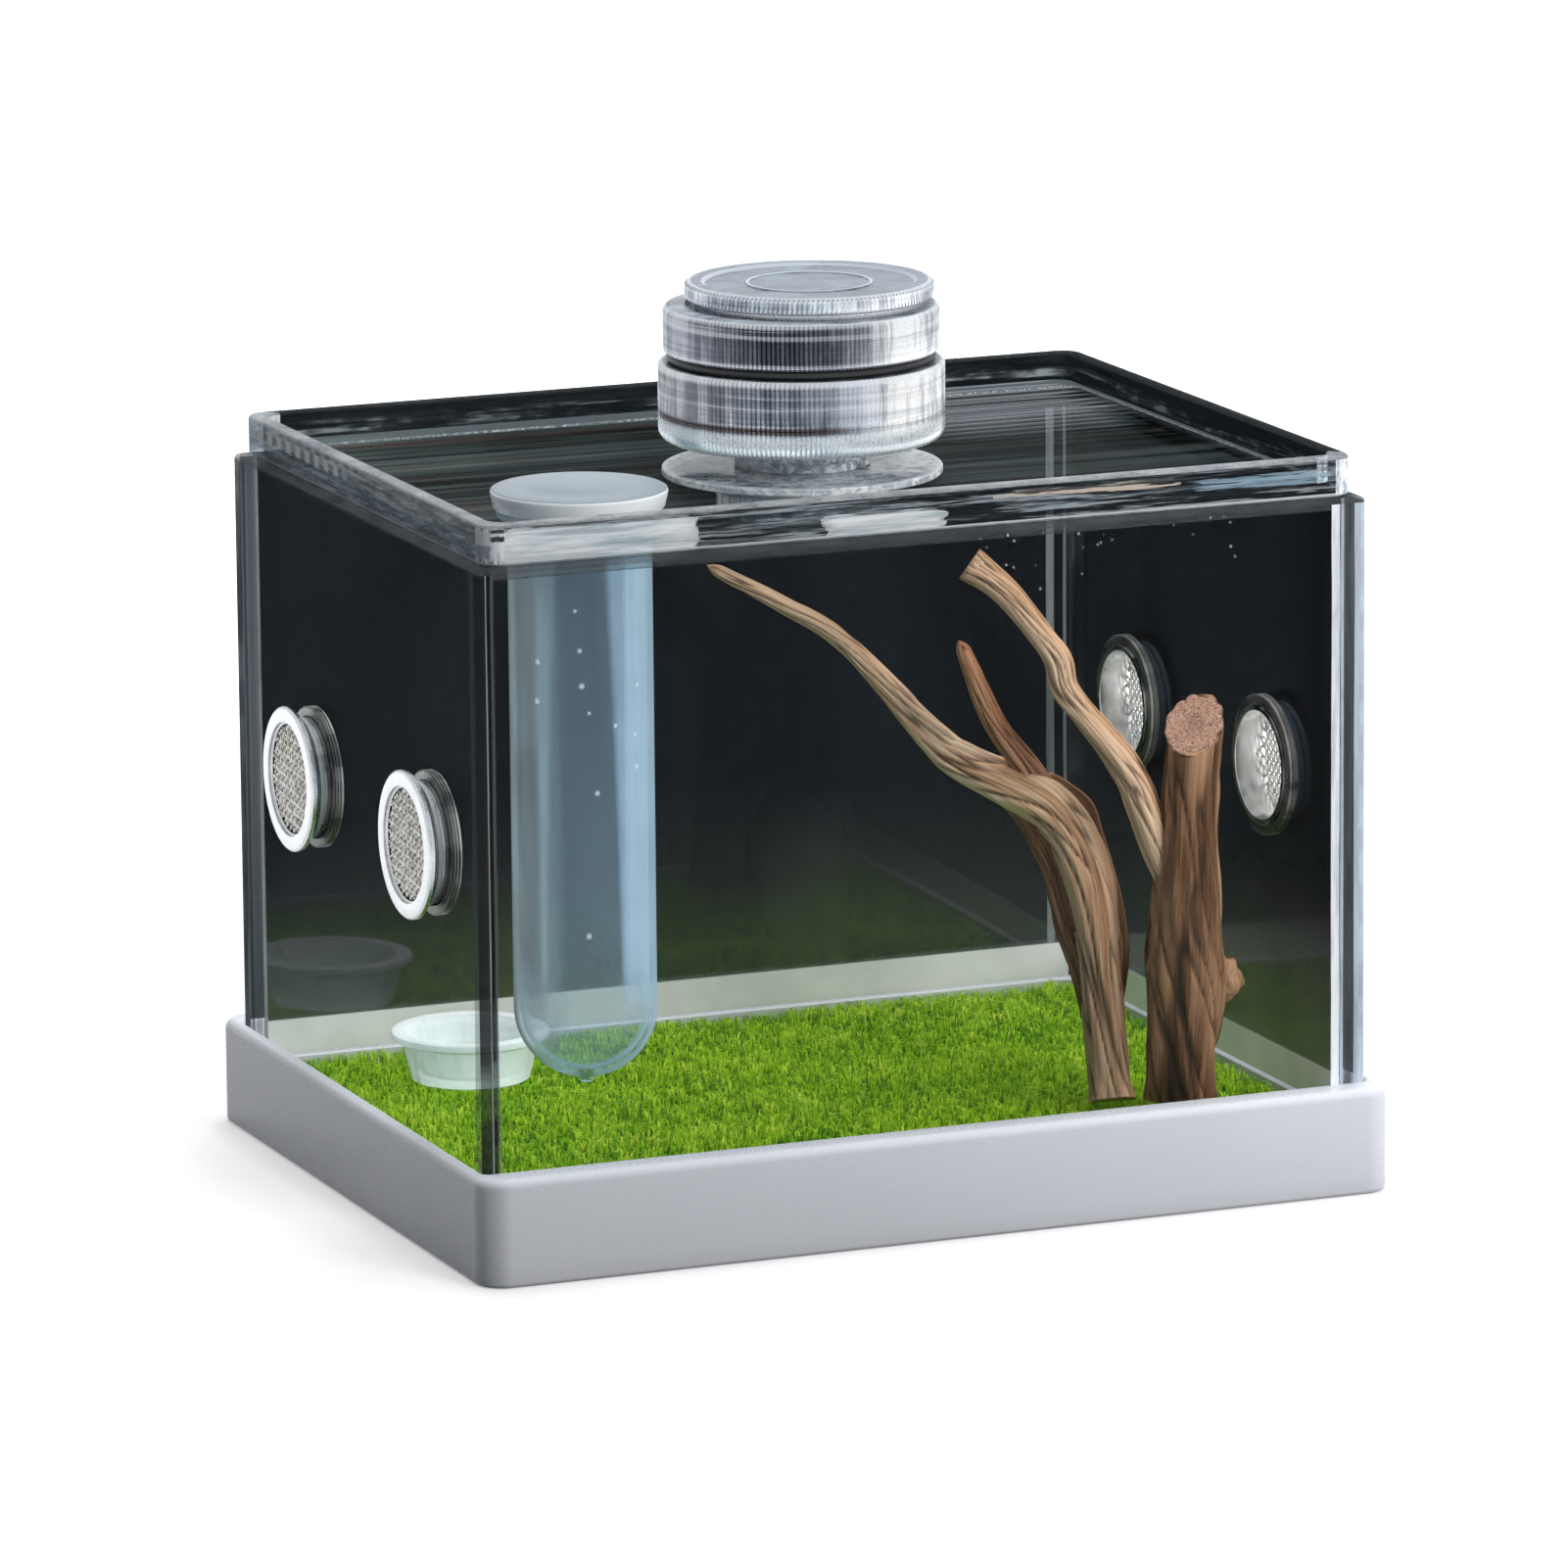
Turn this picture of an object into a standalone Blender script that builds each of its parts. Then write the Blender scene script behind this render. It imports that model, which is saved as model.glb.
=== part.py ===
"""A spider enclosure: a clear box and lid on a white tray, with a screw feed port, a hanging tube,
four mesh vents, a dish, turf and driftwood. Metres, +Z up, origin at the middle of the tray's underside."""

import math
import random

import bmesh
import bpy
from mathutils import Matrix, Vector

MM = 0.001

# Clearances
FIT_GAP = 0.3 * MM
OVERRUN = 2.0 * MM
MERGE = 0.01 * MM

# White tray
TRAY_LENGTH = 180.0 * MM
TRAY_WIDTH = 145.0 * MM
TRAY_HEIGHT = 20.0 * MM
TRAY_CORNER = 5.5 * MM
TRAY_TOP_ROUND = 1.8 * MM
TRAY_FLOOR = 3.0 * MM
RIM_SIDE = 2.5 * MM
RIM_FRONT = 6.5 * MM
LEDGE_HEIGHT = 13.0 * MM
LEDGE_WIDTH = 3.6 * MM
CORE_WALL = 2.4 * MM
CORE_LENGTH_SHARE = 0.27
CORE_PITCH_SHARE = 0.3
CORES_A_SIDE = 3

# Turf mat on the tray's floor: a backing with blades in rows
TURF_BACKING = 7.3 * MM
TURF_CORNER = 3.0 * MM
TURF_EDGE_ROUND = 1.5 * MM
BLADE_HEIGHT = 3.2 * MM
BLADE_SHORTEST_SHARE = 0.7
BLADE_WIDTH = 2.4 * MM
BLADE_PITCH = 7.3 * MM
BLADE_LEAN = 1.3 * MM
BLADE_SCATTER = 1.0 * MM

# Clear body, open above and below
BODY_HEIGHT = 116.6 * MM
BODY_WALL = 3.0 * MM
BODY_CORNER = 1.6 * MM
BODY_INSIDE_CORNER = 1.0 * MM
BODY_TOP_ROUND = 0.9 * MM

# Lid: a plate inside a raised rim, with a lip that drops into the body
LID_INSET_SIDE = 1.9 * MM
LID_INSET_FRONT = 1.2 * MM
LID_HEIGHT = 7.4 * MM
LID_PLATE = 2.2 * MM
LID_RIM = 3.0 * MM
LID_CORNER = 4.0 * MM
LID_TOP_ROUND = 0.6 * MM
LIP_DEPTH = 3.0 * MM
LIP_WALL = 2.0 * MM
LIP_GAP = 0.5 * MM

# Mesh vents, two in each end wall
VENT_FLANGE_DIAMETER = 27.4 * MM
VENT_FLANGE_THICKNESS = 1.3 * MM
VENT_BARREL_DIAMETER = 22.6 * MM
VENT_BORE = 20.6 * MM
VENT_LIP = 0.6 * MM
VENT_LIP_THICKNESS = 0.6 * MM
VENT_REACH = 2.6 * MM
VENT_RING_DIAMETER = 26.6 * MM
VENT_RING_WIDTH = 1.8 * MM
VENT_RING_GROOVE = 0.5 * MM
VENT_BACK_SHIFT = 1.8 * MM
VENT_HEIGHT_SHARE = 0.515
VENT_SPACING_SHARE = 0.503
MESH_THICKNESS = 0.5 * MM
MESH_PITCH = 2.6 * MM
MESH_WIRE = 0.6 * MM
MESH_BORDER = 0.7 * MM

# Feed port near the middle of the lid
PORT_LEFT_SHIFT = 3.0 * MM
PORT_FRONT_SHIFT = 12.5 * MM
PORT_STEM_DIAMETER = 20.0 * MM
PORT_BORE = 16.0 * MM
PORT_STEM_BELOW = 5.2 * MM
PORT_FLANGE_DIAMETER = 52.0 * MM
PORT_FLANGE_THICKNESS = 1.5 * MM
PORT_FLANGE_HUB = 25.0 * MM
PORT_NECK_HEIGHT = 4.7 * MM
PORT_CUP_DIAMETER = 53.0 * MM
PORT_CUP_HEIGHT = 14.2 * MM
PORT_CUP_BASE = 6.5 * MM
PORT_CUP_ROUND = 2.4 * MM
PORT_NECK_DIAMETER = 44.0 * MM
PORT_NECK_WALL = 2.2 * MM
PORT_NECK_RISE = 7.0 * MM
PORT_NUT_DIAMETER = 32.0 * MM
PORT_NUT_HEIGHT = 4.4 * MM
SEAL_THICKNESS = 2.4 * MM
SEAL_DIAMETER = 49.4 * MM
CAP_DIAMETER = 51.0 * MM
CAP_HEIGHT = 8.0 * MM
CAP_CROWN = 1.9 * MM
CAP_TOP_ROUND = 0.7 * MM
CAP_THREAD_GAP = 0.6 * MM
DISC_DIAMETER = 46.0 * MM
DISC_HEIGHT = 3.2 * MM
DISC_WAIST = 1.9 * MM
DISC_GROOVE = 1.0 * MM
DISC_SPIGOT = 0.8 * MM
DISC_OFFSET = 1.7 * MM
DISC_DISH = 0.6 * MM
FLUTE_DEPTH = 0.5 * MM
CUP_FLUTES = 40
NUT_FLUTES = 20

# Hanging tube in the lid's front left corner
TUBE_INSET_SIDE = 29.1 * MM
TUBE_INSET_FRONT = 28.3 * MM
TUBE_DIAMETER = 26.2 * MM
TUBE_WALL = 1.3 * MM
TUBE_LENGTH = 104.0 * MM
TUBE_FLANGE = 1.9 * MM
TUBE_FLANGE_THICKNESS = 1.3 * MM
TUBE_NIB = 1.1 * MM
TUBE_NIB_DIAMETER = 2.7 * MM
TUBE_CAP_DIAMETER = 32.6 * MM
TUBE_CAP_HEIGHT = 3.6 * MM
TUBE_CAP_TAPER = 0.8 * MM
TUBE_CAP_EDGE = 0.4 * MM
TUBE_CAP_BUTTON = 14.6 * MM
TUBE_CAP_SLOPE = 1.6 * MM
TUBE_CAP_RISE = 1.1 * MM
TUBE_PLUG_DEPTH = 6.0 * MM
TUBE_PLUG_WALL = 1.6 * MM
TUBE_PLUG_GAP = 0.35 * MM

# Water dish
DISH_DIAMETER = 30.0 * MM
DISH_FOOT_DIAMETER = 23.0 * MM
DISH_HEIGHT = 9.5 * MM
DISH_WALL = 1.3 * MM
DISH_RIM = 2.2 * MM
DISH_X_SHARE = -0.655
DISH_Y_SHARE = 0.44

# Driftwood: routes as shares of the clear space's half length, half width and height,
# then the limb's radius as a share of the trunk's radius
TRUNK_RADIUS = 4.7 * MM
STUMP_RADIUS = 7.4 * MM
KNOT_RADIUS = 4.2 * MM
GNARL_DEPTH = 0.45 * MM
GNARL_PITCH = 13.0 * MM
ROUTE_STEPS = 3
TRUNK_SHARES = (
    (0.560, -0.630, -0.04, 1.00),
    (0.563, -0.600, 0.05, 0.86),
    (0.564, -0.543, 0.188, 0.90),
    (0.568, -0.447, 0.355, 0.98),
    (0.502, -0.351, 0.470, 0.98),
    (0.333, -0.255, 0.545, 0.80),
    (0.277, -0.191, 0.585, 0.66),
    (0.100, -0.096, 0.744, 0.42),
    (-0.023, 0.000, 0.808, 0.36),
    (-0.184, 0.064, 0.877, 0.24),
)
MIDDLE_BRANCH_SHARES = (
    (0.510, -0.345, 0.450, 0.60),
    (0.480, -0.325, 0.512, 0.56),
    (0.356, -0.383, 0.635, 0.46),
    (0.257, -0.447, 0.775, 0.28),
)
BACK_STRAND_SHARES = (
    (0.572, -0.500, 0.250, 0.42),
    (0.650, -0.300, 0.270, 0.36),
    (0.703, -0.191, 0.332, 0.32),
    (0.665, -0.175, 0.420, 0.30),
    (0.627, -0.175, 0.458, 0.28),
    (0.575, -0.175, 0.495, 0.20),
)
LEFT_STRAND_SHARES = (
    (0.550, -0.560, 0.110, 0.50),
    (0.542, -0.500, 0.200, 0.62),
    (0.524, -0.420, 0.300, 0.66),
    (0.512, -0.355, 0.380, 0.64),
    (0.470, -0.310, 0.450, 0.56),
    (0.400, -0.285, 0.505, 0.40),
)
STUMP_SHARES = (
    (0.712, -0.695, -0.04, 0.92),
    (0.714, -0.690, 0.060, 0.88),
    (0.730, -0.660, 0.190, 1.00),
    (0.737, -0.638, 0.300, 0.92),
    (0.752, -0.620, 0.470, 0.74),
    (0.776, -0.606, 0.618, 0.72),
)
LONG_BRANCH_SHARES = (
    (0.730, -0.645, 0.360, 0.46),
    (0.640, -0.638, 0.454, 0.40),
    (0.580, -0.606, 0.606, 0.36),
    (0.494, -0.543, 0.684, 0.35),
    (0.416, -0.478, 0.790, 0.37),
    (0.289, -0.415, 0.903, 0.42),
)
KNOT_SHARES = (0.818, -0.645, 0.195)

# Round pieces' steps
FINE_STEPS = 40
STEPS = 28
SMALL_STEPS = 24
SEAL_FACETS = 6
BALL_FACETS = 5
BLADE_SIDES = 3
CORNER_SEGMENTS = 4
ROUND_SEGMENTS = 3
SHARP_ANGLE = 35

# Sizes worked out from the ones above
SEAT_X = TRAY_LENGTH / 2 - RIM_SIDE
SEAT_Y = TRAY_WIDTH / 2 - RIM_FRONT
WELL_X = SEAT_X - LEDGE_WIDTH
WELL_Y = SEAT_Y - LEDGE_WIDTH
BODY_X = SEAT_X - FIT_GAP
BODY_Y = SEAT_Y - FIT_GAP
BODY_LOW = LEDGE_HEIGHT + FIT_GAP
BODY_HIGH = BODY_LOW + BODY_HEIGHT
INSIDE_X = BODY_X - BODY_WALL
INSIDE_Y = BODY_Y - BODY_WALL
LID_X = BODY_X - LID_INSET_SIDE
LID_Y = BODY_Y - LID_INSET_FRONT
LID_LOW = BODY_HIGH + FIT_GAP
LID_HIGH = LID_LOW + LID_HEIGHT
PLATE_TOP = LID_LOW + LID_PLATE
TURF_LOW = TRAY_FLOOR + FIT_GAP
BACKING_TOP = TURF_LOW + TURF_BACKING
TURF_TOP = BACKING_TOP + BLADE_HEIGHT
FOOT = TURF_TOP + FIT_GAP
CLEAR_HEIGHT = LID_LOW - LIP_DEPTH - TURF_TOP
TUBE_X = -(LID_X - TUBE_INSET_SIDE)
TUBE_Y = -(LID_Y - TUBE_INSET_FRONT)
PORT_X = -PORT_LEFT_SHIFT
PORT_Y = -PORT_FRONT_SHIFT
FLANGE_LOW = PLATE_TOP + FIT_GAP
COLLAR_LOW = FLANGE_LOW + PORT_FLANGE_THICKNESS + FIT_GAP
CUP_LOW = COLLAR_LOW + PORT_NECK_HEIGHT
CUP_HIGH = CUP_LOW + PORT_CUP_HEIGHT
SEAL_LOW = CUP_HIGH + FIT_GAP
CAP_LOW = SEAL_LOW + SEAL_THICKNESS + FIT_GAP
CAP_HIGH = CAP_LOW + CAP_HEIGHT
TUBE_FLANGE_LOW = PLATE_TOP + FIT_GAP
TUBE_TOP = TUBE_FLANGE_LOW + TUBE_FLANGE_THICKNESS
TUBE_CAP_LOW = TUBE_TOP + FIT_GAP
VENT_Z = BODY_LOW + BODY_HEIGHT * VENT_HEIGHT_SHARE
VENT_Y = INSIDE_Y * VENT_SPACING_SHARE


def clear_scene():
    for leftover in list(bpy.data.objects):
        bpy.data.objects.remove(leftover, do_unlink=True)


def make_collection(name):
    group = bpy.data.collections.new(name)
    bpy.context.scene.collection.children.link(group)
    return group


def make_material(name, colour, roughness, metallic=0.0, transmission=0.0):
    material = bpy.data.materials.new(name)
    material.use_nodes = True
    shader = material.node_tree.nodes["Principled BSDF"]
    shader.inputs["Base Color"].default_value = (*colour, 1.0)
    shader.inputs["Roughness"].default_value = roughness
    shader.inputs["Metallic"].default_value = metallic
    shader.inputs["Transmission Weight"].default_value = transmission
    material.diffuse_color = (*colour, 1.0)
    return material


def white_plastic(name):
    return make_material(name, (0.83, 0.84, 0.86), 0.28)


def clear_plastic(name):
    return make_material(name, (0.86, 0.92, 0.94), 0.04, transmission=0.9)


def frosted_plastic(name):
    return make_material(name, (0.82, 0.87, 0.90), 0.3, transmission=0.6)


def steel(name):
    return make_material(name, (0.72, 0.72, 0.71), 0.22, metallic=1.0)


def wood(name):
    return make_material(name, (0.42, 0.22, 0.10), 0.75)


def add_part(name, mesh, material):
    part = bpy.data.objects.new(name, mesh)
    PARTS.objects.link(part)
    mesh.materials.clear()
    mesh.materials.append(material)
    mesh.shade_smooth()
    mesh.set_sharp_from_angle(angle=math.radians(SHARP_ANGLE))
    return part


def add_cutter(name, mesh):
    cutter = bpy.data.objects.new(name, mesh)
    CUTTERS.objects.link(cutter)
    cutter.hide_render = True
    cutter.display_type = "WIRE"
    return cutter


def add_holder(name):
    """An empty that carries pieces on one axis."""
    holder = bpy.data.objects.new(name, None)
    PARTS.objects.link(holder)
    return holder


def combine(part, other, operation):
    change = part.modifiers.new(f"{operation.lower()} {other.name}", "BOOLEAN")
    change.operation = operation
    change.object = other
    change.solver = "EXACT"


def cut(part, cutter):
    combine(part, cutter, "DIFFERENCE")


def join(part, other):
    combine(part, other, "UNION")


def mesh_from(name, bm):
    mesh = bpy.data.meshes.new(name)
    bm.to_mesh(mesh)
    bm.free()
    return mesh


def block_mesh(name, half_x, half_y, low, high, corner=0.0, top_round=0.0):
    """A block with rounded upright corners and, where asked, a rounded top edge."""
    bm = bmesh.new()
    bmesh.ops.create_cube(bm, size=1.0)
    bmesh.ops.scale(bm, vec=(2 * half_x, 2 * half_y, high - low), verts=bm.verts)
    bmesh.ops.translate(bm, vec=(0, 0, (low + high) / 2), verts=bm.verts)
    if corner:
        upright = [e for e in bm.edges if abs(e.verts[0].co.z - e.verts[1].co.z) > MERGE]
        bmesh.ops.bevel(bm, geom=upright, offset=corner, segments=CORNER_SEGMENTS,
                        profile=0.5, affect="EDGES")
    if top_round:
        rim = [e for e in bm.edges if min(v.co.z for v in e.verts) > high - MERGE]
        bmesh.ops.bevel(bm, geom=rim, offset=top_round, segments=ROUND_SEGMENTS,
                        profile=0.5, affect="EDGES")
    return mesh_from(name, bm)


def cylinder_mesh(name, radius, low, high, steps=STEPS):
    bm = bmesh.new()
    bmesh.ops.create_cone(bm, cap_ends=True, segments=steps, radius1=radius, radius2=radius,
                          depth=high - low)
    bmesh.ops.translate(bm, vec=(0, 0, (low + high) / 2), verts=bm.verts)
    return mesh_from(name, bm)


def profile_mesh(name, points, closed):
    """A profile of (radius, height) points at +X, which runs down its outer side."""
    mesh = bpy.data.meshes.new(name)
    edges = [(i, i + 1) for i in range(len(points) - 1)]
    if closed:
        edges.append((len(points) - 1, 0))
    mesh.from_pydata([(radius, 0, height) for radius, height in points], edges, [])
    return mesh


def spin(profiled, steps):
    turn = profiled.modifiers.new("turned", "SCREW")
    turn.angle = math.tau
    turn.steps = steps
    turn.render_steps = steps
    turn.use_merge_vertices = True
    turn.merge_threshold = MERGE
    turn.use_smooth_shade = True


def turned_part(name, points, material, steps=STEPS, closed=False):
    part = add_part(name, profile_mesh(name, points, closed), material)
    spin(part, steps)
    return part


def turned_cutter(name, points, steps=STEPS, closed=False):
    cutter = add_cutter(name, profile_mesh(name, points, closed))
    spin(cutter, steps)
    return cutter


def evaluated_mesh(source, name):
    bpy.context.view_layer.update()
    graph = bpy.context.evaluated_depsgraph_get()
    mesh = bpy.data.meshes.new_from_object(source.evaluated_get(graph))
    mesh.name = name
    return mesh


def arc(centre_r, centre_z, radius, start, end, steps):
    """Points round an arc, with angles in degrees from +X towards +Z."""
    points = []
    for i in range(steps + 1):
        angle = math.radians(start + (end - start) * i / steps)
        points.append((centre_r + radius * math.cos(angle), centre_z + radius * math.sin(angle)))
    return points


def fluted_mesh(name, points, radius, flutes):
    """A solid turned from a profile, whose widest face has flutes pressed into it."""
    blank = turned_cutter(name + "_blank", points, 2 * flutes)
    mesh = evaluated_mesh(blank, name)
    bpy.data.objects.remove(blank, do_unlink=True)
    for vertex in mesh.vertices:
        reach = math.hypot(vertex.co.x, vertex.co.y)
        turn = math.atan2(vertex.co.y, vertex.co.x) / math.tau * 2 * flutes
        if reach > radius - MERGE and round(turn) % 2:
            vertex.co.x *= (reach - FLUTE_DEPTH) / reach
            vertex.co.y *= (reach - FLUTE_DEPTH) / reach
    return mesh


def make_tray():
    tray = add_part("base_tray", block_mesh("base_tray", TRAY_LENGTH / 2, TRAY_WIDTH / 2, 0,
                                            TRAY_HEIGHT, TRAY_CORNER, TRAY_TOP_ROUND),
                    white_plastic("tray_white"))
    above = TRAY_HEIGHT + OVERRUN
    seat = block_mesh("seat_cutter", SEAT_X, SEAT_Y, LEDGE_HEIGHT, above, BODY_CORNER + FIT_GAP)
    cut(tray, add_cutter("seat_cutter", seat))
    well = block_mesh("well_cutter", WELL_X, WELL_Y, TRAY_FLOOR, above, TURF_CORNER + FIT_GAP)
    cut(tray, add_cutter("well_cutter", well))
    core_y = (TRAY_WIDTH / 2 + WELL_Y) / 2
    core_half_width = (TRAY_WIDTH / 2 - WELL_Y) / 2 - CORE_WALL
    core_half_length = TRAY_LENGTH * CORE_LENGTH_SHARE / 2
    for side in (-1, 1):
        for i in range(CORES_A_SIDE):
            label = f"core_cutter_{'front' if side < 0 else 'back'}_{i + 1}"
            core = add_cutter(label, block_mesh(label, core_half_length, core_half_width,
                                                -OVERRUN, LEDGE_HEIGHT - CORE_WALL))
            step = i - (CORES_A_SIDE - 1) / 2
            core.location = (step * TRAY_LENGTH * CORE_PITCH_SHARE, side * core_y, 0)
            cut(tray, core)
    return tray


def blades_mesh(half_x, half_y):
    """Rows of leaning blades of unlike heights, rooted in the backing."""
    chance = random.Random(3)
    margin = TURF_EDGE_ROUND + BLADE_WIDTH / 2 + BLADE_SCATTER
    columns = int((half_x - margin) / BLADE_PITCH)
    rows = int((half_y - margin) / BLADE_PITCH)
    root = BACKING_TOP - TURF_EDGE_ROUND
    bm = bmesh.new()
    for column in range(-columns, columns + 1):
        for row in range(-rows, rows + 1):
            height = BLADE_HEIGHT * chance.uniform(BLADE_SHORTEST_SHARE, 1) + TURF_EDGE_ROUND
            place = Vector((column * BLADE_PITCH + chance.uniform(-1, 1) * BLADE_SCATTER,
                            row * BLADE_PITCH + chance.uniform(-1, 1) * BLADE_SCATTER,
                            root + height / 2))
            turn = Matrix.Rotation(chance.uniform(0, math.tau), 4, "Z")
            blade = bmesh.ops.create_cone(bm, cap_ends=True, segments=BLADE_SIDES,
                                          radius1=BLADE_WIDTH / 2, radius2=0, depth=height,
                                          matrix=Matrix.Translation(place) @ turn)
            tip = max(blade["verts"], key=lambda vertex: vertex.co.z)
            lean = chance.uniform(0, math.tau)
            tip.co.x += BLADE_LEAN * math.cos(lean)
            tip.co.y += BLADE_LEAN * math.sin(lean)
    return mesh_from("turf_blades", bm)


def make_turf():
    half_x = WELL_X - FIT_GAP
    half_y = WELL_Y - FIT_GAP
    backing = block_mesh("turf_mat", half_x, half_y, TURF_LOW, BACKING_TOP, TURF_CORNER,
                         TURF_EDGE_ROUND)
    turf = add_part("turf_mat", backing, make_material("turf_green", (0.12, 0.34, 0.02), 0.85))
    join(turf, add_cutter("turf_blades", blades_mesh(half_x, half_y)))
    return turf


def make_body():
    body = add_part("clear_body", block_mesh("clear_body", BODY_X, BODY_Y, BODY_LOW, BODY_HIGH,
                                             BODY_CORNER, BODY_TOP_ROUND),
                    clear_plastic("body_clear"))
    inside = block_mesh("inside_cutter", INSIDE_X, INSIDE_Y, BODY_LOW - OVERRUN,
                        BODY_HIGH + OVERRUN, BODY_INSIDE_CORNER)
    cut(body, add_cutter("inside_cutter", inside))
    for side in (-1, 1):
        label = "vent_hole_front" if side < 0 else "vent_hole_back"
        hole = cylinder_mesh(label, VENT_BARREL_DIAMETER / 2 + FIT_GAP,
                             -BODY_X - OVERRUN, BODY_X + OVERRUN)
        cutter = add_cutter(label, hole)
        cutter.rotation_euler = (0, math.pi / 2, 0)
        cutter.location = (0, side * VENT_Y + VENT_BACK_SHIFT, VENT_Z)
        cut(body, cutter)
    return body


def make_lid():
    lid = add_part("lid", block_mesh("lid", LID_X, LID_Y, LID_LOW, LID_HIGH, LID_CORNER,
                                     LID_TOP_ROUND), clear_plastic("lid_clear"))
    lip_x = INSIDE_X - LIP_GAP
    lip_y = INSIDE_Y - LIP_GAP
    lip = block_mesh("lip", lip_x, lip_y, LID_LOW - LIP_DEPTH, LID_LOW + LID_PLATE / 2,
                     BODY_INSIDE_CORNER)
    join(lid, add_cutter("lip", lip))
    above = block_mesh("recess_cutter", LID_X - LID_RIM, LID_Y - LID_RIM, PLATE_TOP,
                       LID_HIGH + OVERRUN, LID_CORNER - LID_TOP_ROUND)
    cut(lid, add_cutter("recess_cutter", above))
    below = block_mesh("lip_cutter", lip_x - LIP_WALL, lip_y - LIP_WALL,
                       LID_LOW - LIP_DEPTH - OVERRUN, LID_LOW, BODY_INSIDE_CORNER)
    cut(lid, add_cutter("lip_cutter", below))
    port_hole = add_cutter("port_hole", cylinder_mesh("port_hole", PORT_STEM_DIAMETER / 2 + FIT_GAP,
                                                      LID_LOW - OVERRUN, LID_HIGH))
    port_hole.location = (PORT_X, PORT_Y, 0)
    cut(lid, port_hole)
    tube_hole = add_cutter("tube_hole", cylinder_mesh("tube_hole", TUBE_DIAMETER / 2 + FIT_GAP,
                                                      LID_LOW - OVERRUN, LID_HIGH))
    tube_hole.location = (TUBE_X, TUBE_Y, 0)
    cut(lid, tube_hole)
    return lid


def mesh_disc():
    """A woven disc, whose square openings lie in rows inside a plain border."""
    radius = VENT_BORE / 2 - FIT_GAP
    disc = cylinder_mesh("mesh_disc", radius, -MESH_THICKNESS / 2, MESH_THICKNESS / 2,
                         SMALL_STEPS)
    opening = MESH_PITCH - MESH_WIRE
    reach = radius - MESH_BORDER
    rows = int(reach / MESH_PITCH) + 1
    bm = bmesh.new()
    for row in range(-rows, rows + 1):
        for column in range(-rows, rows + 1):
            x = column * MESH_PITCH
            y = row * MESH_PITCH
            if math.hypot(abs(x) + opening / 2, abs(y) + opening / 2) > reach:
                continue
            square = bmesh.ops.create_cube(bm, size=1.0)["verts"]
            bmesh.ops.scale(bm, vec=(opening, opening, 2 * OVERRUN), verts=square)
            bmesh.ops.translate(bm, vec=(x, y, 0), verts=square)
    blank = add_cutter("mesh_blank", disc)
    cut(blank, add_cutter("mesh_openings", mesh_from("mesh_openings", bm)))
    mesh = evaluated_mesh(blank, "vent_mesh")
    bpy.data.objects.remove(blank, do_unlink=True)
    return mesh


def vent_shell_points():
    """Flange, barrel and lip, with the wall's outer face at height zero and outside upwards."""
    flange = VENT_FLANGE_DIAMETER / 2
    barrel = VENT_BARREL_DIAMETER / 2
    bore = VENT_BORE / 2
    top = FIT_GAP + VENT_FLANGE_THICKNESS
    low = -BODY_WALL - VENT_REACH
    edge = VENT_LIP_THICKNESS / 2
    return [
        (bore - VENT_LIP, top),
        (flange - edge, top),
        (flange, top - edge),
        (flange, FIT_GAP),
        (barrel, FIT_GAP),
        (barrel, low),
        (bore, low),
        (bore, top - VENT_LIP_THICKNESS),
        (bore - VENT_LIP, top - VENT_LIP_THICKNESS),
    ]


def vent_ring_points():
    """A grooved ring on the barrel, against the wall's inner face."""
    outer = VENT_RING_DIAMETER / 2
    inner = VENT_BARREL_DIAMETER / 2 + FIT_GAP
    top = -BODY_WALL - FIT_GAP
    groove = outer - VENT_RING_GROOVE
    return [
        (inner, top),
        (outer, top),
        (groove, top - VENT_RING_WIDTH / 2),
        (outer, top - VENT_RING_WIDTH),
        (inner, top - VENT_RING_WIDTH),
    ]


def make_vents():
    woven = mesh_disc()
    mesh_height = FIT_GAP + VENT_FLANGE_THICKNESS - VENT_LIP_THICKNESS - FIT_GAP - MESH_THICKNESS / 2
    for wall, side in (("left", -1), ("right", 1)):
        for end, way in (("front", -1), ("back", 1)):
            label = f"vent_{wall}_{end}"
            holder = add_holder(label + "_axis")
            holder.location = (side * BODY_X, way * VENT_Y + VENT_BACK_SHIFT, VENT_Z)
            holder.rotation_euler = (0, side * math.pi / 2, 0)
            shell = turned_part(label + "_flange", vent_shell_points(), steel(label + "_steel"),
                                SMALL_STEPS, closed=True)
            ring = turned_part(label + "_ring", vent_ring_points(), steel(label + "_ring_steel"),
                               SMALL_STEPS, closed=True)
            screen = add_part(label + "_mesh", woven.copy(), steel(label + "_wire"))
            screen.location = (0, 0, mesh_height)
            for piece in (shell, ring, screen):
                piece.parent = holder


def make_port():
    axis = add_holder("port_axis")
    axis.location = (PORT_X, PORT_Y, 0)
    make_port_base(axis)
    make_port_cup(axis)
    make_port_seal(axis)
    make_port_cap(axis)


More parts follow.
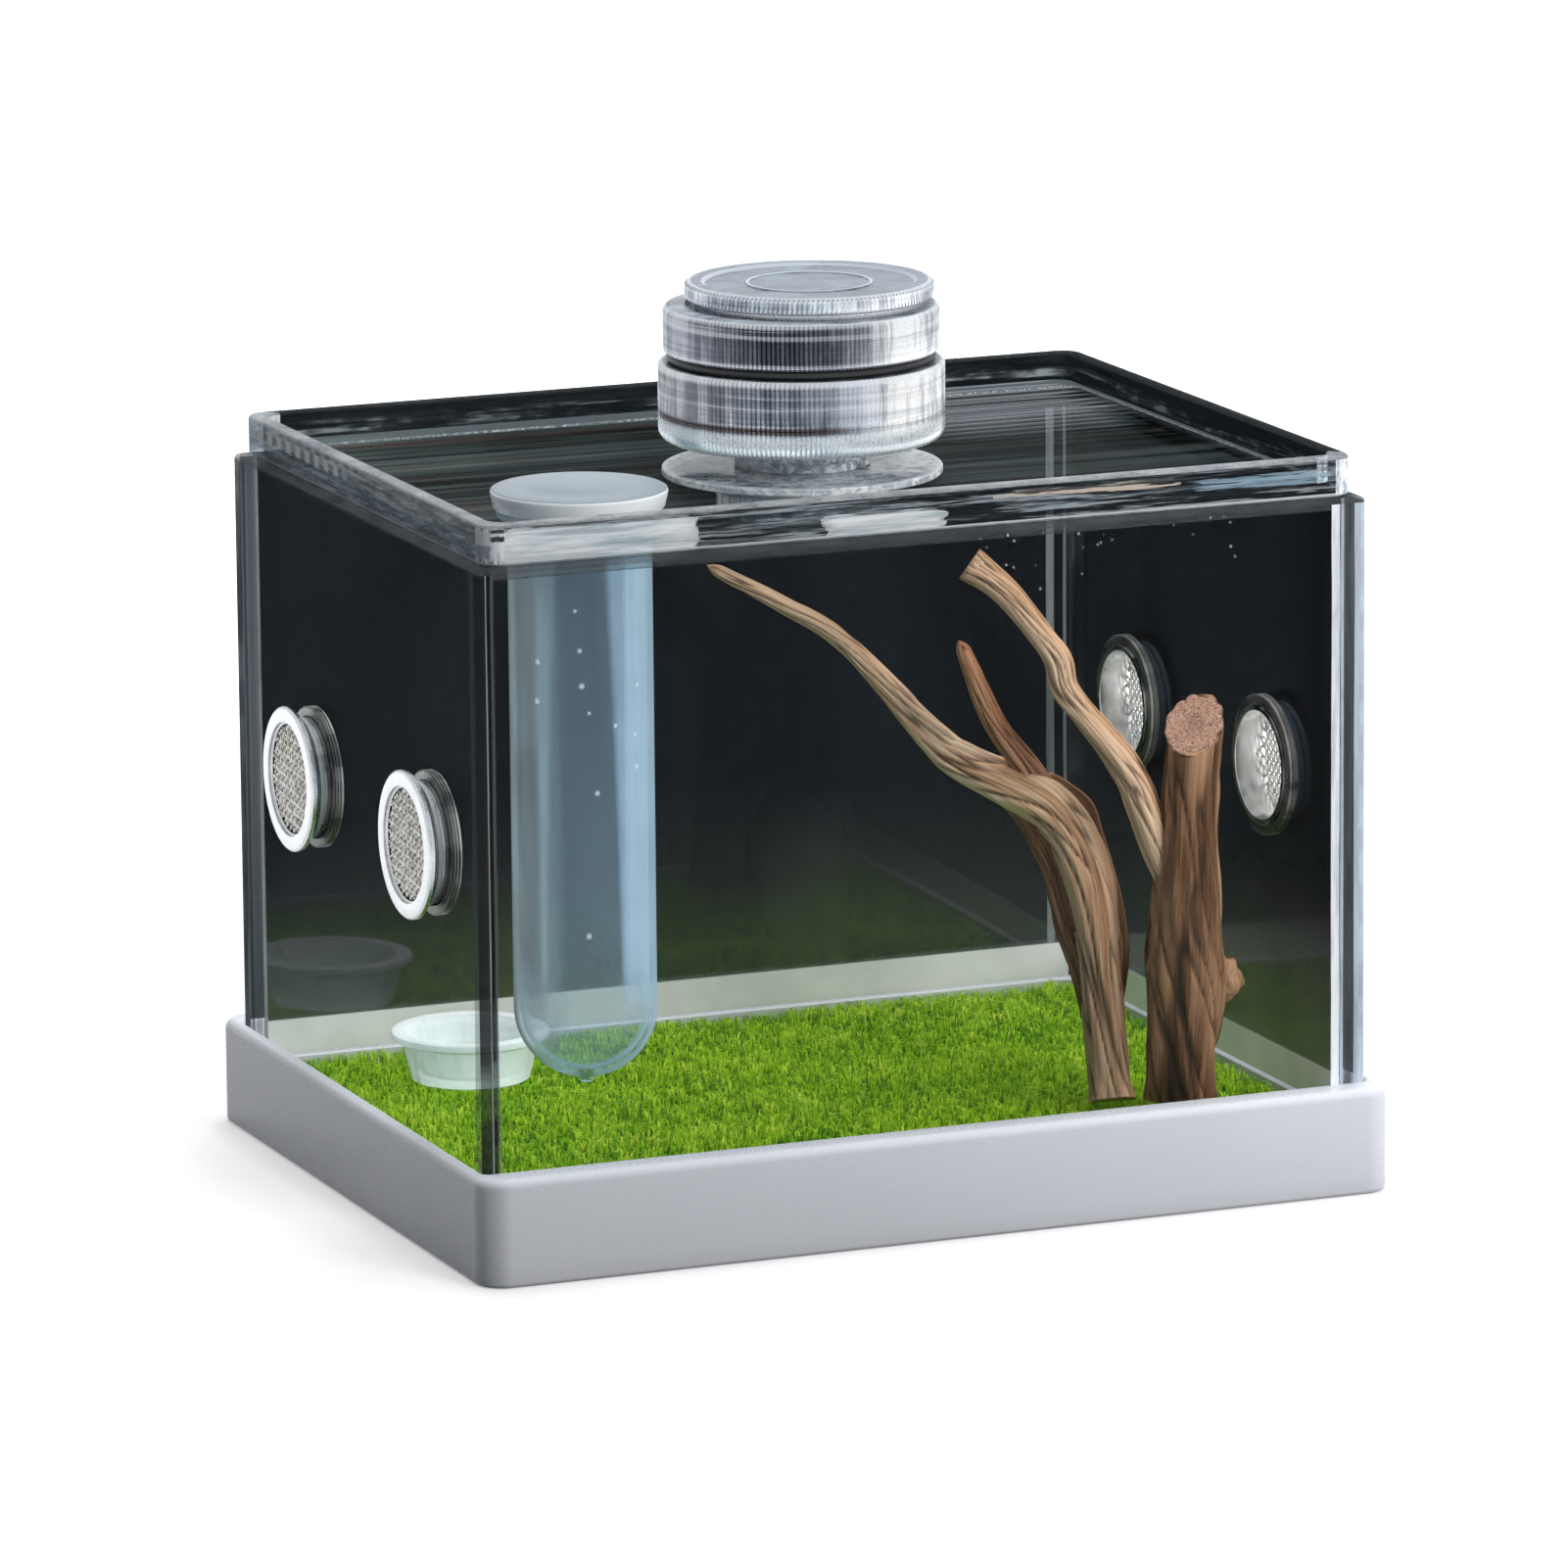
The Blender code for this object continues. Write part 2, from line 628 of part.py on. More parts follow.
def make_port_base(axis):
    low = FLANGE_LOW
    high = low + PORT_FLANGE_THICKNESS
    rim = PORT_FLANGE_DIAMETER / 2
    hole = PORT_STEM_DIAMETER / 2 + FIT_GAP
    edge = PORT_FLANGE_THICKNESS / 3
    flange = turned_part("port_flange", [(hole, high), (rim - edge, high), (rim, high - edge),
                                         (rim, low), (hole, low)],
                         clear_plastic("flange_clear"), FINE_STEPS, True)
    nut_high = LID_LOW - FIT_GAP
    blank = fluted_mesh("port_nut", nut_points(nut_high), PORT_NUT_DIAMETER / 2, NUT_FLUTES)
    nut = add_part("port_nut", blank, clear_plastic("nut_clear"))
    bore = add_cutter("nut_bore", cylinder_mesh("nut_bore", hole,
                                                nut_high - PORT_NUT_HEIGHT - OVERRUN,
                                                nut_high + OVERRUN))
    cut(nut, bore)
    for piece in (flange, nut, bore):
        piece.parent = axis


def nut_points(high):
    radius = PORT_NUT_DIAMETER / 2
    low = high - PORT_NUT_HEIGHT
    return [(0, high), (radius, high), (radius, low + FLUTE_DEPTH), (radius - FLUTE_DEPTH, low),
            (0, low)]


def make_port_cup(axis):
    """A fluted cup on a hollow stem, which runs through the flange, the lid and the nut."""
    radius = PORT_CUP_DIAMETER / 2
    edge = FLUTE_DEPTH
    outside = [(0, CUP_HIGH), (radius - edge, CUP_HIGH), (radius, CUP_HIGH - edge)]
    outside += arc(radius - PORT_CUP_ROUND, CUP_LOW + PORT_CUP_ROUND, PORT_CUP_ROUND, 0, -90,
                   ROUND_SEGMENTS)
    outside.append((0, CUP_LOW))
    cup = add_part("port_cup", fluted_mesh("port_cup", outside, radius, CUP_FLUTES),
                   clear_plastic("cup_clear"))
    stem = PORT_STEM_DIAMETER / 2
    collar = PORT_FLANGE_HUB / 2
    stem_low = LID_LOW - PORT_STEM_BELOW
    inner_floor = CUP_LOW + PORT_CUP_BASE
    core_points = [(0, inner_floor - edge), (collar, inner_floor - edge), (collar, COLLAR_LOW),
                   (stem, COLLAR_LOW), (stem, stem_low), (0, stem_low)]
    core = turned_cutter("port_stem", core_points)
    join(cup, core)
    neck_radius = PORT_NECK_DIAMETER / 2
    neck_top = CUP_HIGH + PORT_NECK_RISE
    neck = add_cutter("port_neck", cylinder_mesh("port_neck", neck_radius, inner_floor + OVERRUN,
                                                 neck_top, FINE_STEPS))
    join(cup, neck)
    hollow = add_cutter("cup_hollow", cylinder_mesh("cup_hollow", neck_radius - PORT_NECK_WALL,
                                                    inner_floor, neck_top + OVERRUN))
    cut(cup, hollow)
    bore = add_cutter("port_bore", cylinder_mesh("port_bore", PORT_BORE / 2, stem_low - OVERRUN,
                                                 inner_floor + OVERRUN))
    cut(cup, bore)
    for piece in (cup, core, neck, hollow, bore):
        piece.parent = axis


def make_port_seal(axis):
    section = SEAL_THICKNESS / 2
    points = arc(SEAL_DIAMETER / 2 - section, SEAL_LOW + section, section, 90, -270,
                 SEAL_FACETS)[:-1]
    seal = turned_part("port_seal", points,
                       make_material("seal_black", (0.015, 0.015, 0.016), 0.45), FINE_STEPS, True)
    seal.parent = axis


def make_port_cap(axis):
    """A fluted cap over the cup's neck, with a seat for its off-centre top disc."""
    radius = CAP_DIAMETER / 2
    edge = CAP_TOP_ROUND
    outside = [(0, CAP_HIGH), (radius - 2 * edge, CAP_HIGH), (radius, CAP_HIGH - edge),
               (radius, CAP_LOW + FLUTE_DEPTH), (radius - FLUTE_DEPTH, CAP_LOW), (0, CAP_LOW)]
    cap = add_part("port_cap", fluted_mesh("port_cap", outside, radius, CUP_FLUTES),
                   clear_plastic("cap_clear"))
    hollow = add_cutter("cap_hollow", cylinder_mesh("cap_hollow",
                                                    PORT_NECK_DIAMETER / 2 + CAP_THREAD_GAP,
                                                    CAP_LOW - OVERRUN, CAP_HIGH - CAP_CROWN))
    cut(cap, hollow)
    spigot = DISC_DIAMETER / 2 - DISC_WAIST
    seat = add_cutter("disc_seat", cylinder_mesh("disc_seat", spigot + FIT_GAP,
                                                 CAP_HIGH - DISC_SPIGOT - FIT_GAP,
                                                 CAP_HIGH + OVERRUN, FINE_STEPS))
    seat.location = (DISC_OFFSET, 0, 0)
    cut(cap, seat)
    rim = DISC_DIAMETER / 2
    low = CAP_HIGH + DISC_GROOVE
    high = low + DISC_HEIGHT
    well = spigot - DISC_WAIST
    points = [(0, high - DISC_DISH), (well, high - DISC_DISH), (well + DISC_DISH, high),
              (rim - DISC_DISH, high), (rim, high - DISC_DISH), (rim, low), (spigot, low),
              (spigot, CAP_HIGH - DISC_SPIGOT), (0, CAP_HIGH - DISC_SPIGOT)]
    disc = turned_part("port_cap_disc", points, clear_plastic("disc_clear"), FINE_STEPS)
    disc.location = (DISC_OFFSET, 0, 0)
    for piece in (cap, hollow, seat, disc):
        piece.parent = axis


def make_tube():
    """A round-bottomed tube that hangs by its rim, and the cap that plugs it."""
    outer = TUBE_DIAMETER / 2
    inner = outer - TUBE_WALL
    rim = outer + TUBE_FLANGE
    tip = TUBE_FLANGE_LOW - TUBE_LENGTH
    ball = tip + outer
    nib = TUBE_NIB_DIAMETER / 2
    nib_angle = math.degrees(math.acos(nib / outer))
    points = arc(0, ball, inner, -90, 0, BALL_FACETS)
    points += [(inner, TUBE_TOP), (rim, TUBE_TOP), (rim, TUBE_FLANGE_LOW), (outer, TUBE_FLANGE_LOW)]
    points += arc(0, ball, outer, 0, -nib_angle, BALL_FACETS)
    points += [(nib, tip - TUBE_NIB), (0, tip - TUBE_NIB)]
    tube = turned_part("feeding_tube", points, frosted_plastic("tube_frosted"))
    tube.location = (TUBE_X, TUBE_Y, 0)
    cap_rim = TUBE_CAP_DIAMETER / 2
    plug = inner - TUBE_PLUG_GAP
    hollow = plug - TUBE_PLUG_WALL
    high = TUBE_CAP_LOW + TUBE_CAP_HEIGHT
    under = TUBE_CAP_LOW - TUBE_PLUG_DEPTH
    button = TUBE_CAP_BUTTON / 2
    points = [(0, high + TUBE_CAP_RISE), (button, high + TUBE_CAP_RISE),
              (button + TUBE_CAP_SLOPE, high), (cap_rim - TUBE_CAP_EDGE, high),
              (cap_rim, high - TUBE_CAP_EDGE), (cap_rim - TUBE_CAP_TAPER, TUBE_CAP_LOW),
              (plug, TUBE_CAP_LOW), (plug, under), (hollow, under),
              (hollow, high - TUBE_PLUG_WALL), (0, high - TUBE_PLUG_WALL)]
    cap = turned_part("tube_cap", points, white_plastic("tube_cap_white"))
    cap.location = (TUBE_X, TUBE_Y, 0)


def make_dish():
    rim = DISH_DIAMETER / 2
    foot = DISH_FOOT_DIAMETER / 2
    high = FOOT + DISH_HEIGHT
    floor = FOOT + DISH_WALL
    inside = [(0, floor), (foot - 2 * DISH_WALL, floor), (foot - DISH_WALL, floor + DISH_WALL),
              (foot, high - DISH_RIM), (rim - DISH_RIM, high)]
    outside = [(rim - DISH_WALL / 2, high), (rim, high - DISH_WALL / 2), (rim, high - DISH_WALL),
               (foot + DISH_WALL, high - DISH_RIM), (foot, floor), (foot - DISH_WALL / 2, FOOT),
               (0, FOOT)]
    dish = turned_part("water_dish", inside + outside, frosted_plastic("dish_frosted"))
    dish.location = (INSIDE_X * DISH_X_SHARE, INSIDE_Y * DISH_Y_SHARE, 0)


def clear_place(x_share, y_share, z_share):
    """A place in the clear space over the turf."""
    return Vector((x_share * INSIDE_X, y_share * INSIDE_Y, TURF_TOP + z_share * CLEAR_HEIGHT))


def smooth_route(shares, radius):
    """Points and radii on a Catmull-Rom curve through a limb's route."""
    knots = [(*clear_place(*row[:3]), row[3] * radius) for row in shares]
    knots = [knots[0]] + knots + [knots[-1]]
    route = []
    for before, start, end, after in zip(knots, knots[1:], knots[2:], knots[3:]):
        for step in range(ROUTE_STEPS):
            t = step / ROUTE_STEPS
            route.append([0.5 * (2 * b + (c - a) * t + (2 * a - 5 * b + 4 * c - d) * t ** 2
                                 + (3 * b - a - 3 * c + d) * t ** 3)
                          for a, b, c, d in zip(before, start, end, after)])
    route.append(knots[-1])
    return route


def limb_mesh(name, shares, radius, resolution):
    """A tapering limb along its route, with a gnarled surface."""
    route = smooth_route(shares, radius)
    curve = bpy.data.curves.new(name, "CURVE")
    curve.dimensions = "3D"
    curve.bevel_depth = radius
    curve.bevel_resolution = resolution
    curve.use_fill_caps = True
    spline = curve.splines.new("POLY")
    spline.points.add(len(route) - 1)
    for point, (x, y, z, thickness) in zip(spline.points, route):
        point.co = (x, y, z, 1)
        point.radius = thickness / radius
    tube = add_cutter(name + "_curve", curve)
    mesh = evaluated_mesh(tube, name)
    bpy.data.objects.remove(tube, do_unlink=True)
    bm = bmesh.new()
    bm.from_mesh(mesh)
    bmesh.ops.remove_doubles(bm, verts=bm.verts, dist=MERGE)
    bm.normal_update()
    for vertex in bm.verts:
        along = vertex.co.z / GNARL_PITCH * math.tau
        round_about = (vertex.co.x - vertex.co.y) / GNARL_PITCH * math.tau
        vertex.co += vertex.normal * GNARL_DEPTH * math.sin(along + 2 * math.sin(round_about))
    bm.to_mesh(mesh)
    bm.free()
    return mesh


def stand_on_turf(part):
    """Saws a limb's foot off level with the turf."""
    label = part.name + "_foot_cutter"
    saw = block_mesh(label, INSIDE_X, INSIDE_Y, 0, FOOT)
    cut(part, add_cutter(label, saw))


def make_driftwood():
    trunk = add_part("driftwood_trunk", limb_mesh("driftwood_trunk", TRUNK_SHARES, TRUNK_RADIUS, 3),
                     wood("trunk_wood"))
    for label, shares in (("middle_branch", MIDDLE_BRANCH_SHARES),
                          ("back_strand", BACK_STRAND_SHARES), ("left_strand", LEFT_STRAND_SHARES)):
        join(trunk, add_cutter(label, limb_mesh(label, shares, TRUNK_RADIUS, 2)))
    stand_on_turf(trunk)
    stump = add_part("driftwood_stump", limb_mesh("driftwood_stump", STUMP_SHARES, STUMP_RADIUS, 4),
                     wood("stump_wood"))
    join(stump, add_cutter("long_branch", limb_mesh("long_branch", LONG_BRANCH_SHARES,
                                                    STUMP_RADIUS, 2)))
    bm = bmesh.new()
    bmesh.ops.create_icosphere(bm, subdivisions=2, radius=KNOT_RADIUS)
    knot = add_cutter("knot", mesh_from("knot", bm))
    knot.location = clear_place(*KNOT_SHARES)
    join(stump, knot)
    stand_on_turf(stump)


clear_scene()
PARTS = make_collection("spider_enclosure")
CUTTERS = make_collection("cutters")
make_tray()
make_turf()
make_body()
make_lid()
make_vents()
make_port()
make_tube()
make_dish()
make_driftwood()
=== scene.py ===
"""The spider enclosure's looks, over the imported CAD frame. Metres, +Z up, origin at the middle of the
tray's underside. Tables are in millimetres and are scaled as each mesh is made."""

import math
import random

import bmesh
import bpy
import numpy as np
from mathutils import Matrix, Vector, noise


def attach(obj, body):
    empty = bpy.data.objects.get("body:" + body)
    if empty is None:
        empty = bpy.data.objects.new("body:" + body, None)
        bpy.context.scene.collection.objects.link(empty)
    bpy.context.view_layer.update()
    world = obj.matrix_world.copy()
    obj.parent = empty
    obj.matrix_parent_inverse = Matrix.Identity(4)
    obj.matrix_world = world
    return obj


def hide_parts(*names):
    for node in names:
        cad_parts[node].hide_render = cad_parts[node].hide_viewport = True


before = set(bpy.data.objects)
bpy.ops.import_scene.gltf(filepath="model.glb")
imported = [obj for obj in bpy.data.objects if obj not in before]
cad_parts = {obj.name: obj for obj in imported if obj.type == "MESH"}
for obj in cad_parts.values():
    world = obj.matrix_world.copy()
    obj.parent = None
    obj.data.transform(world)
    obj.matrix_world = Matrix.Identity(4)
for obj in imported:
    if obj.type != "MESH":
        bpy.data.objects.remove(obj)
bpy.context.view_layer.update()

MM = 0.001

# Sizes repeated from the CAD, in millimetres
TRAY_X = 90.0
TRAY_Y = 72.5
TRAY_TOP = 20.0
TRAY_CORNER = 5.5
SEAT_X = 87.5
SEAT_Y = 66.0
WELL_X = 83.9
WELL_Y = 62.4
LEDGE = 13.0
TRAY_FLOOR = 3.0
BODY_X = 87.2
BODY_Y = 65.7
INSIDE_X = 84.2
INSIDE_Y = 62.7
BODY_LOW = 13.3
BODY_HIGH = 129.9
LID_X = 85.3
LID_Y = 64.5
LID_LOW = 130.2
LID_HIGH = 137.6
PLATE_TOP = 132.4
TURF_LOW = 3.3
BACKING_TOP = 10.6
TURF_TOP = 13.8
CLEAR_HEIGHT = 113.4
FOOT = 14.1
VENT_Z = 73.35
VENT_YS = {"front": -29.74, "back": 33.34}
PORT_AXIS = (-3.0, -12.5)
DISC_AXIS = (-1.3, -12.5)
TUBE_AXIS = (-56.2, -36.2)
DISH_AXIS = (-55.15, 27.6)

# Radii and heights of single pieces, in millimetres
TRAY_FOOT_ROUND = 0.9
TRAY_TOP_ROUND = 1.8
SEAT_CORNER = 1.9
SEAT_ROUND = 0.7
WELL_CORNER = 3.3
BODY_CORNER = 1.6
BODY_ROUND = 0.9
INSIDE_CORNER = 1.0
VENT_BORE = 11.6
LID_CORNER = 4.0
LID_ROUND = 0.6
RIM_INSIDE = (82.3, 61.5, 3.4)
LIP_OUTSIDE = (83.7, 62.2, 1.0)
LIP_INSIDE = (81.7, 60.2, 1.0)
LIP_LOW = 127.2
LIP_ROUND = 0.3
PORT_HOLE = 10.3
TUBE_HOLE = 13.4
STEM_BORE = 7.99
STEM_LOW = 125.0
STEM_RADIUS = 10.0
NECK_RADIUS = 12.5
CUP_RADIUS = 26.5
CUP_LOW = 139.2
CUP_HIGH = 153.4
CUP_SEAM = 144.75
CUP_FLOOR = 145.7
CUP_WALL = 19.8
THREAD_RADIUS = 22.0
THREAD_LOW = 154.6
THREAD_PITCH = 1.6
SEAL_RING = (24.0, 154.75, 0.9)
CAP_LOW = 155.7
CAP_HIGH = 164.4
CAP_RADIUS = 25.5
CAP_BORE = 22.6
DISC_LOW = 165.4
DISC_HIGH = 168.6
DISC_RADIUS = 23.0
RIDGES = 180
DISC_RIDGES = 160
TUBE_RADIUS = 13.1
TUBE_BORE = 11.8
TUBE_TIP = 28.7
MESH_RADIUS = 10.25
MESH_PITCH = 1.4
MESH_WIRE = 0.43

CORNER_STEPS = 10
SHARP = 35.0
STEEP = 0.7
LIGHT_PASSED = 0.92
WHITE = (1.0, 1.0, 1.0)
REGIONS = ("front_left", "front", "front_right", "right", "back_right", "back", "back_left", "left")


class Shader:
    """The nodes of a material or of the world, made one at a time."""

    def __init__(self, name, world=None):
        self.material = world or bpy.data.materials.new(name)
        self.material.use_nodes = True
        self.tree = self.material.node_tree
        self.tree.nodes.clear()
        self.output = self.tree.nodes.new("ShaderNodeOutput" + ("World" if world else "Material"))
        self.place = None

    def node(self, kind, inputs=None, **settings):
        made = self.tree.nodes.new("ShaderNode" + kind)
        for key, value in settings.items():
            setattr(made, key, value)
        for key, value in (inputs or {}).items():
            self.put(made.inputs[key], value)
        return made

    def put(self, socket, value):
        if isinstance(value, bpy.types.NodeSocket):
            self.tree.links.new(value, socket)
        elif isinstance(value, tuple) and len(value) == 3 and socket.type == "RGBA":
            socket.default_value = (*value, 1.0)
        else:
            socket.default_value = value

    def coords(self):
        """The piece's own coordinates in millimetres."""
        if self.place is None:
            found = self.node("TexCoord").outputs["Object"]
            self.place = self.node("VectorMath", {0: found, 1: (1 / MM, 1 / MM, 1 / MM)},
                                   operation="MULTIPLY").outputs[0]
        return self.place

    def stretched(self, vector, scale):
        return self.node("VectorMath", {0: vector, 1: scale}, operation="MULTIPLY").outputs[0]

    def split(self, vector):
        return self.node("SeparateXYZ", {0: vector}).outputs

    def math(self, operation, first, second=0.0, clamp=False):
        return self.node("Math", {0: first, 1: second}, operation=operation,
                         use_clamp=clamp).outputs[0]

    def times(self, first, second, clamp=False):
        return self.math("MULTIPLY", first, second, clamp)

    def plus(self, first, second, clamp=False):
        return self.math("ADD", first, second, clamp)

    def minus(self, first, second):
        return self.math("SUBTRACT", first, second)

    def most(self, first, second):
        return self.math("MAXIMUM", first, second)

    def apart(self, first, second):
        """How far two values are from each other."""
        return self.math("ABSOLUTE", self.minus(first, second))

    def window(self, value, rise, risen, fall, fallen):
        """1 from risen to fall, and 0 outside rise to fallen."""
        return self.times(self.span(value, rise, risen), self.span(value, fall, fallen, 1.0, 0.0))

    def from_axis(self, vector, axis):
        """A place measured from an upright axis."""
        return self.node("VectorMath", {0: vector, 1: (*axis, 0.0)}, operation="SUBTRACT").outputs[0]

    def reach(self, vector, axis):
        """How far out from an upright axis a place lies."""
        flat = self.stretched(self.from_axis(vector, axis), (1.0, 1.0, 0.0))
        return self.node("VectorMath", {0: flat}, operation="LENGTH").outputs["Value"]

    def span(self, value, low, high, start=0.0, end=1.0, smooth=True):
        """Maps low..high to start..end, and holds the ends."""
        kind = "SMOOTHSTEP" if smooth else "LINEAR"
        return self.node("MapRange", {0: value, 1: low, 2: high, 3: start, 4: end},
                         interpolation_type=kind).outputs[0]

    def noise(self, vector, scale, detail=3.0, roughness=0.55, distortion=0.0):
        return self.node("TexNoise", {"Vector": vector, "Scale": scale, "Detail": detail,
                                      "Roughness": roughness,
                                      "Distortion": distortion}).outputs[0]

    def grain(self, vector, stretch, *settings, **more):
        """Noise whose grain is drawn out along the axes with a small stretch."""
        return self.noise(self.stretched(vector, stretch), *settings, **more)

    def ramp(self, value, stops):
        made = self.node("ValToRGB", {0: value})
        elements = made.color_ramp.elements
        while len(elements) < len(stops):
            elements.new(0.5)
        for element, (position, colour) in zip(elements, stops):
            element.position = position
            if not isinstance(colour, tuple):
                colour = (colour, colour, colour)
            element.color = (*colour, 1.0)
        return made.outputs[0]

    def mix(self, factor, first, second, blend="MIX"):
        made = self.tree.nodes.new("ShaderNodeMix")
        made.data_type = "RGBA"
        made.blend_type = blend
        self.put(made.inputs[0], factor)
        self.put(made.inputs[6], first)
        self.put(made.inputs[7], second)
        return made.outputs[2]

    def bump(self, height, distance, strength=1.0):
        return self.node("Bump", {"Height": height, "Distance": distance,
                                  "Strength": strength}).outputs[0]

    def attribute(self, name):
        return self.node("Attribute", attribute_name=name).outputs

    def surface(self, shader):
        self.tree.links.new(shader, self.output.inputs[0])
        return self.material

    def principled(self, **inputs):
        named = {key.replace("_", " "): value for key, value in inputs.items()}
        return self.node("BsdfPrincipled", named).outputs[0]

    def clear(self, tint, haze, haze_colour, gloss=0.05, roughness=0.05, edge=0.0):
        """See-through plastic: a tint, a share of haze, and a share of gloss that grows at the edge. Most
        of the lamps' light passes it, so that what stands behind it is lit."""
        seen = self.node("BsdfTransparent", {0: tint}).outputs[0]
        milky = self.node("BsdfDiffuse", {0: haze_colour}).outputs[0]
        body = self.node("MixShader", {0: haze, 1: seen, 2: milky}).outputs[0]
        shine = self.node("BsdfGlossy", {0: WHITE, 1: roughness}).outputs[0]
        share = gloss
        if edge:
            facing = self.node("LayerWeight", {0: 0.5}).outputs[1]
            steep = self.math("POWER", facing, 4.0)
            share = self.math("MULTIPLY_ADD", steep, edge)
            share.node.inputs[2].default_value = gloss
        look = self.node("MixShader", {0: share, 1: body, 2: shine}).outputs[0]
        passed = self.times(self.node("LightPath").outputs["Is Shadow Ray"], LIGHT_PASSED)
        through = self.node("BsdfTransparent", {0: WHITE}).outputs[0]
        return self.node("MixShader", {0: passed, 1: look, 2: through}).outputs[0]


def new_object(name, mesh, materials):
    made = bpy.data.objects.new(name, mesh)
    bpy.context.scene.collection.objects.link(made)
    for material in materials:
        mesh.materials.append(material)
    return made


def finish_mesh(name, bm, sharp=SHARP):
    """A mesh in metres of what bm holds in millimetres."""
    bmesh.ops.scale(bm, vec=(MM, MM, MM), verts=bm.verts)
    bmesh.ops.recalc_face_normals(bm, faces=bm.faces)
    mesh = bpy.data.meshes.new(name)
    bm.to_mesh(mesh)
    bm.free()
    mesh.shade_smooth()
    mesh.set_sharp_from_angle(angle=math.radians(sharp))
    return mesh


def rounded_rectangle(half_x, half_y, corner):
    """Points anticlockwise from the front left corner."""
    points = []
    for side_x, side_y, start in ((-1, -1, 180), (1, -1, 270), (1, 1, 0), (-1, 1, 90)):
        for i in range(CORNER_STEPS + 1):
            angle = math.radians(start + 90 * i / CORNER_STEPS)
            points.append((side_x * (half_x - corner) + corner * math.cos(angle),
                           side_y * (half_y - corner) + corner * math.sin(angle)))
    return points


def region_of(i):
    corner, step = divmod(i, CORNER_STEPS + 1)
    return REGIONS[2 * corner + (step == CORNER_STEPS)]


def sweep(name, loops, pick, closed=True, caps=()):
    """A skin over rounded rectangles (half x, half y, corner, height). pick gives a face's material number
    from its region and band, and caps are the numbers of the first and last loop's flat faces."""
    bm = bmesh.new()
    rings = [[bm.verts.new((x, y, z)) for x, y in rounded_rectangle(half_x, half_y, corner)]
             for half_x, half_y, corner, z in loops]
    count = len(rings[0])
    for band in range(len(rings) if closed else len(rings) - 1):
        low = rings[band]
        high = rings[(band + 1) % len(rings)]
        for i in range(count):
            after = (i + 1) % count
            face = bm.faces.new((low[i], low[after], high[after], high[i]))
            face.material_index = pick(region_of(i), band)
    if caps:
        for ring, number in zip((rings[0], rings[-1]), caps):
            bm.faces.new(ring).material_index = number
    return finish_mesh(name, bm)


def round_levels(half_x, half_y, corner, z, radius, start, end, steps):
    """Loops round an edge's arc, whose centre lies radius inside the half sizes."""
    loops = []
    for i in range(steps + 1):
        angle = math.radians(start + (end - start) * i / steps)
        inset = radius * (1 - math.cos(angle))
        loops.append((half_x - inset, half_y - inset, max(corner - inset, 0.3),
                      z + radius * math.sin(angle)))
    return loops


def lathe(name, profile, steps, closed=True, ripple=None, sharp=SHARP, centre=(0.0, 0.0)):
    """A solid turned from (radius, height) points. An open profile starts and ends on the axis."""
    bm = bmesh.new()
    rings = []
    for radius, height in profile:
        if radius == 0:
            rings.append([bm.verts.new((centre[0], centre[1], height))])
            continue
        ring = []
        for i in range(steps):
            angle = math.tau * i / steps
            reach = radius if ripple is None else ripple(radius, height, angle)
            ring.append(bm.verts.new((centre[0] + reach * math.cos(angle),
                                      centre[1] + reach * math.sin(angle), height)))
        rings.append(ring)
    for band in range(len(rings) if closed else len(rings) - 1):
        low = rings[band]
        high = rings[(band + 1) % len(rings)]
        for i in range(steps):
            after = (i + 1) % steps
            corners = []
            for vertex in (low[i % len(low)], low[after % len(low)],
                           high[after % len(high)], high[i % len(high)]):
                if vertex not in corners:
                    corners.append(vertex)
            if len(corners) > 2:
                bm.faces.new(corners)
    return finish_mesh(name, bm, sharp=sharp)


def arc(centre_r, centre_z, radius, start, end, steps):
    """Profile points round an arc, with angles in degrees from outwards towards up."""
    return [(centre_r + radius * math.cos(math.radians(start + (end - start) * i / steps)),
             centre_z + radius * math.sin(math.radians(start + (end - start) * i / steps)))
            for i in range(steps + 1)]


def softened(profile, radius, steps=3):
    """The closed profile with each corner rounded off."""
    points = []
    count = len(profile)
    for i, corner in enumerate(profile):
        here = Vector(corner)
        before = Vector(profile[i - 1]) - here
        after = Vector(profile[(i + 1) % count]) - here
        reach = min(radius, before.length * 0.45, after.length * 0.45)
        start = here + before.normalized() * reach
        end = here + after.normalized() * reach
        for k in range(steps + 1):
            t = k / steps
            points.append(tuple(start * (1 - t) ** 2 + here * 2 * t * (1 - t) + end * t ** 2))
    return points


def boolean_cut(piece, cutters):
    """Cuts the rods out of the piece for good, and removes them."""
    for cutter in cutters:
        change = piece.modifiers.new("cut", "BOOLEAN")
        change.operation = "DIFFERENCE"
        change.object = cutter
        change.solver = "EXACT"
    bpy.context.view_layer.update()
    graph = bpy.context.evaluated_depsgraph_get()
    mesh = bpy.data.meshes.new_from_object(piece.evaluated_get(graph))
    piece.modifiers.clear()
    piece.data = mesh
    mesh.shade_smooth()
    mesh.set_sharp_from_angle(angle=math.radians(SHARP))
    for cutter in cutters:
        bpy.data.objects.remove(cutter, do_unlink=True)


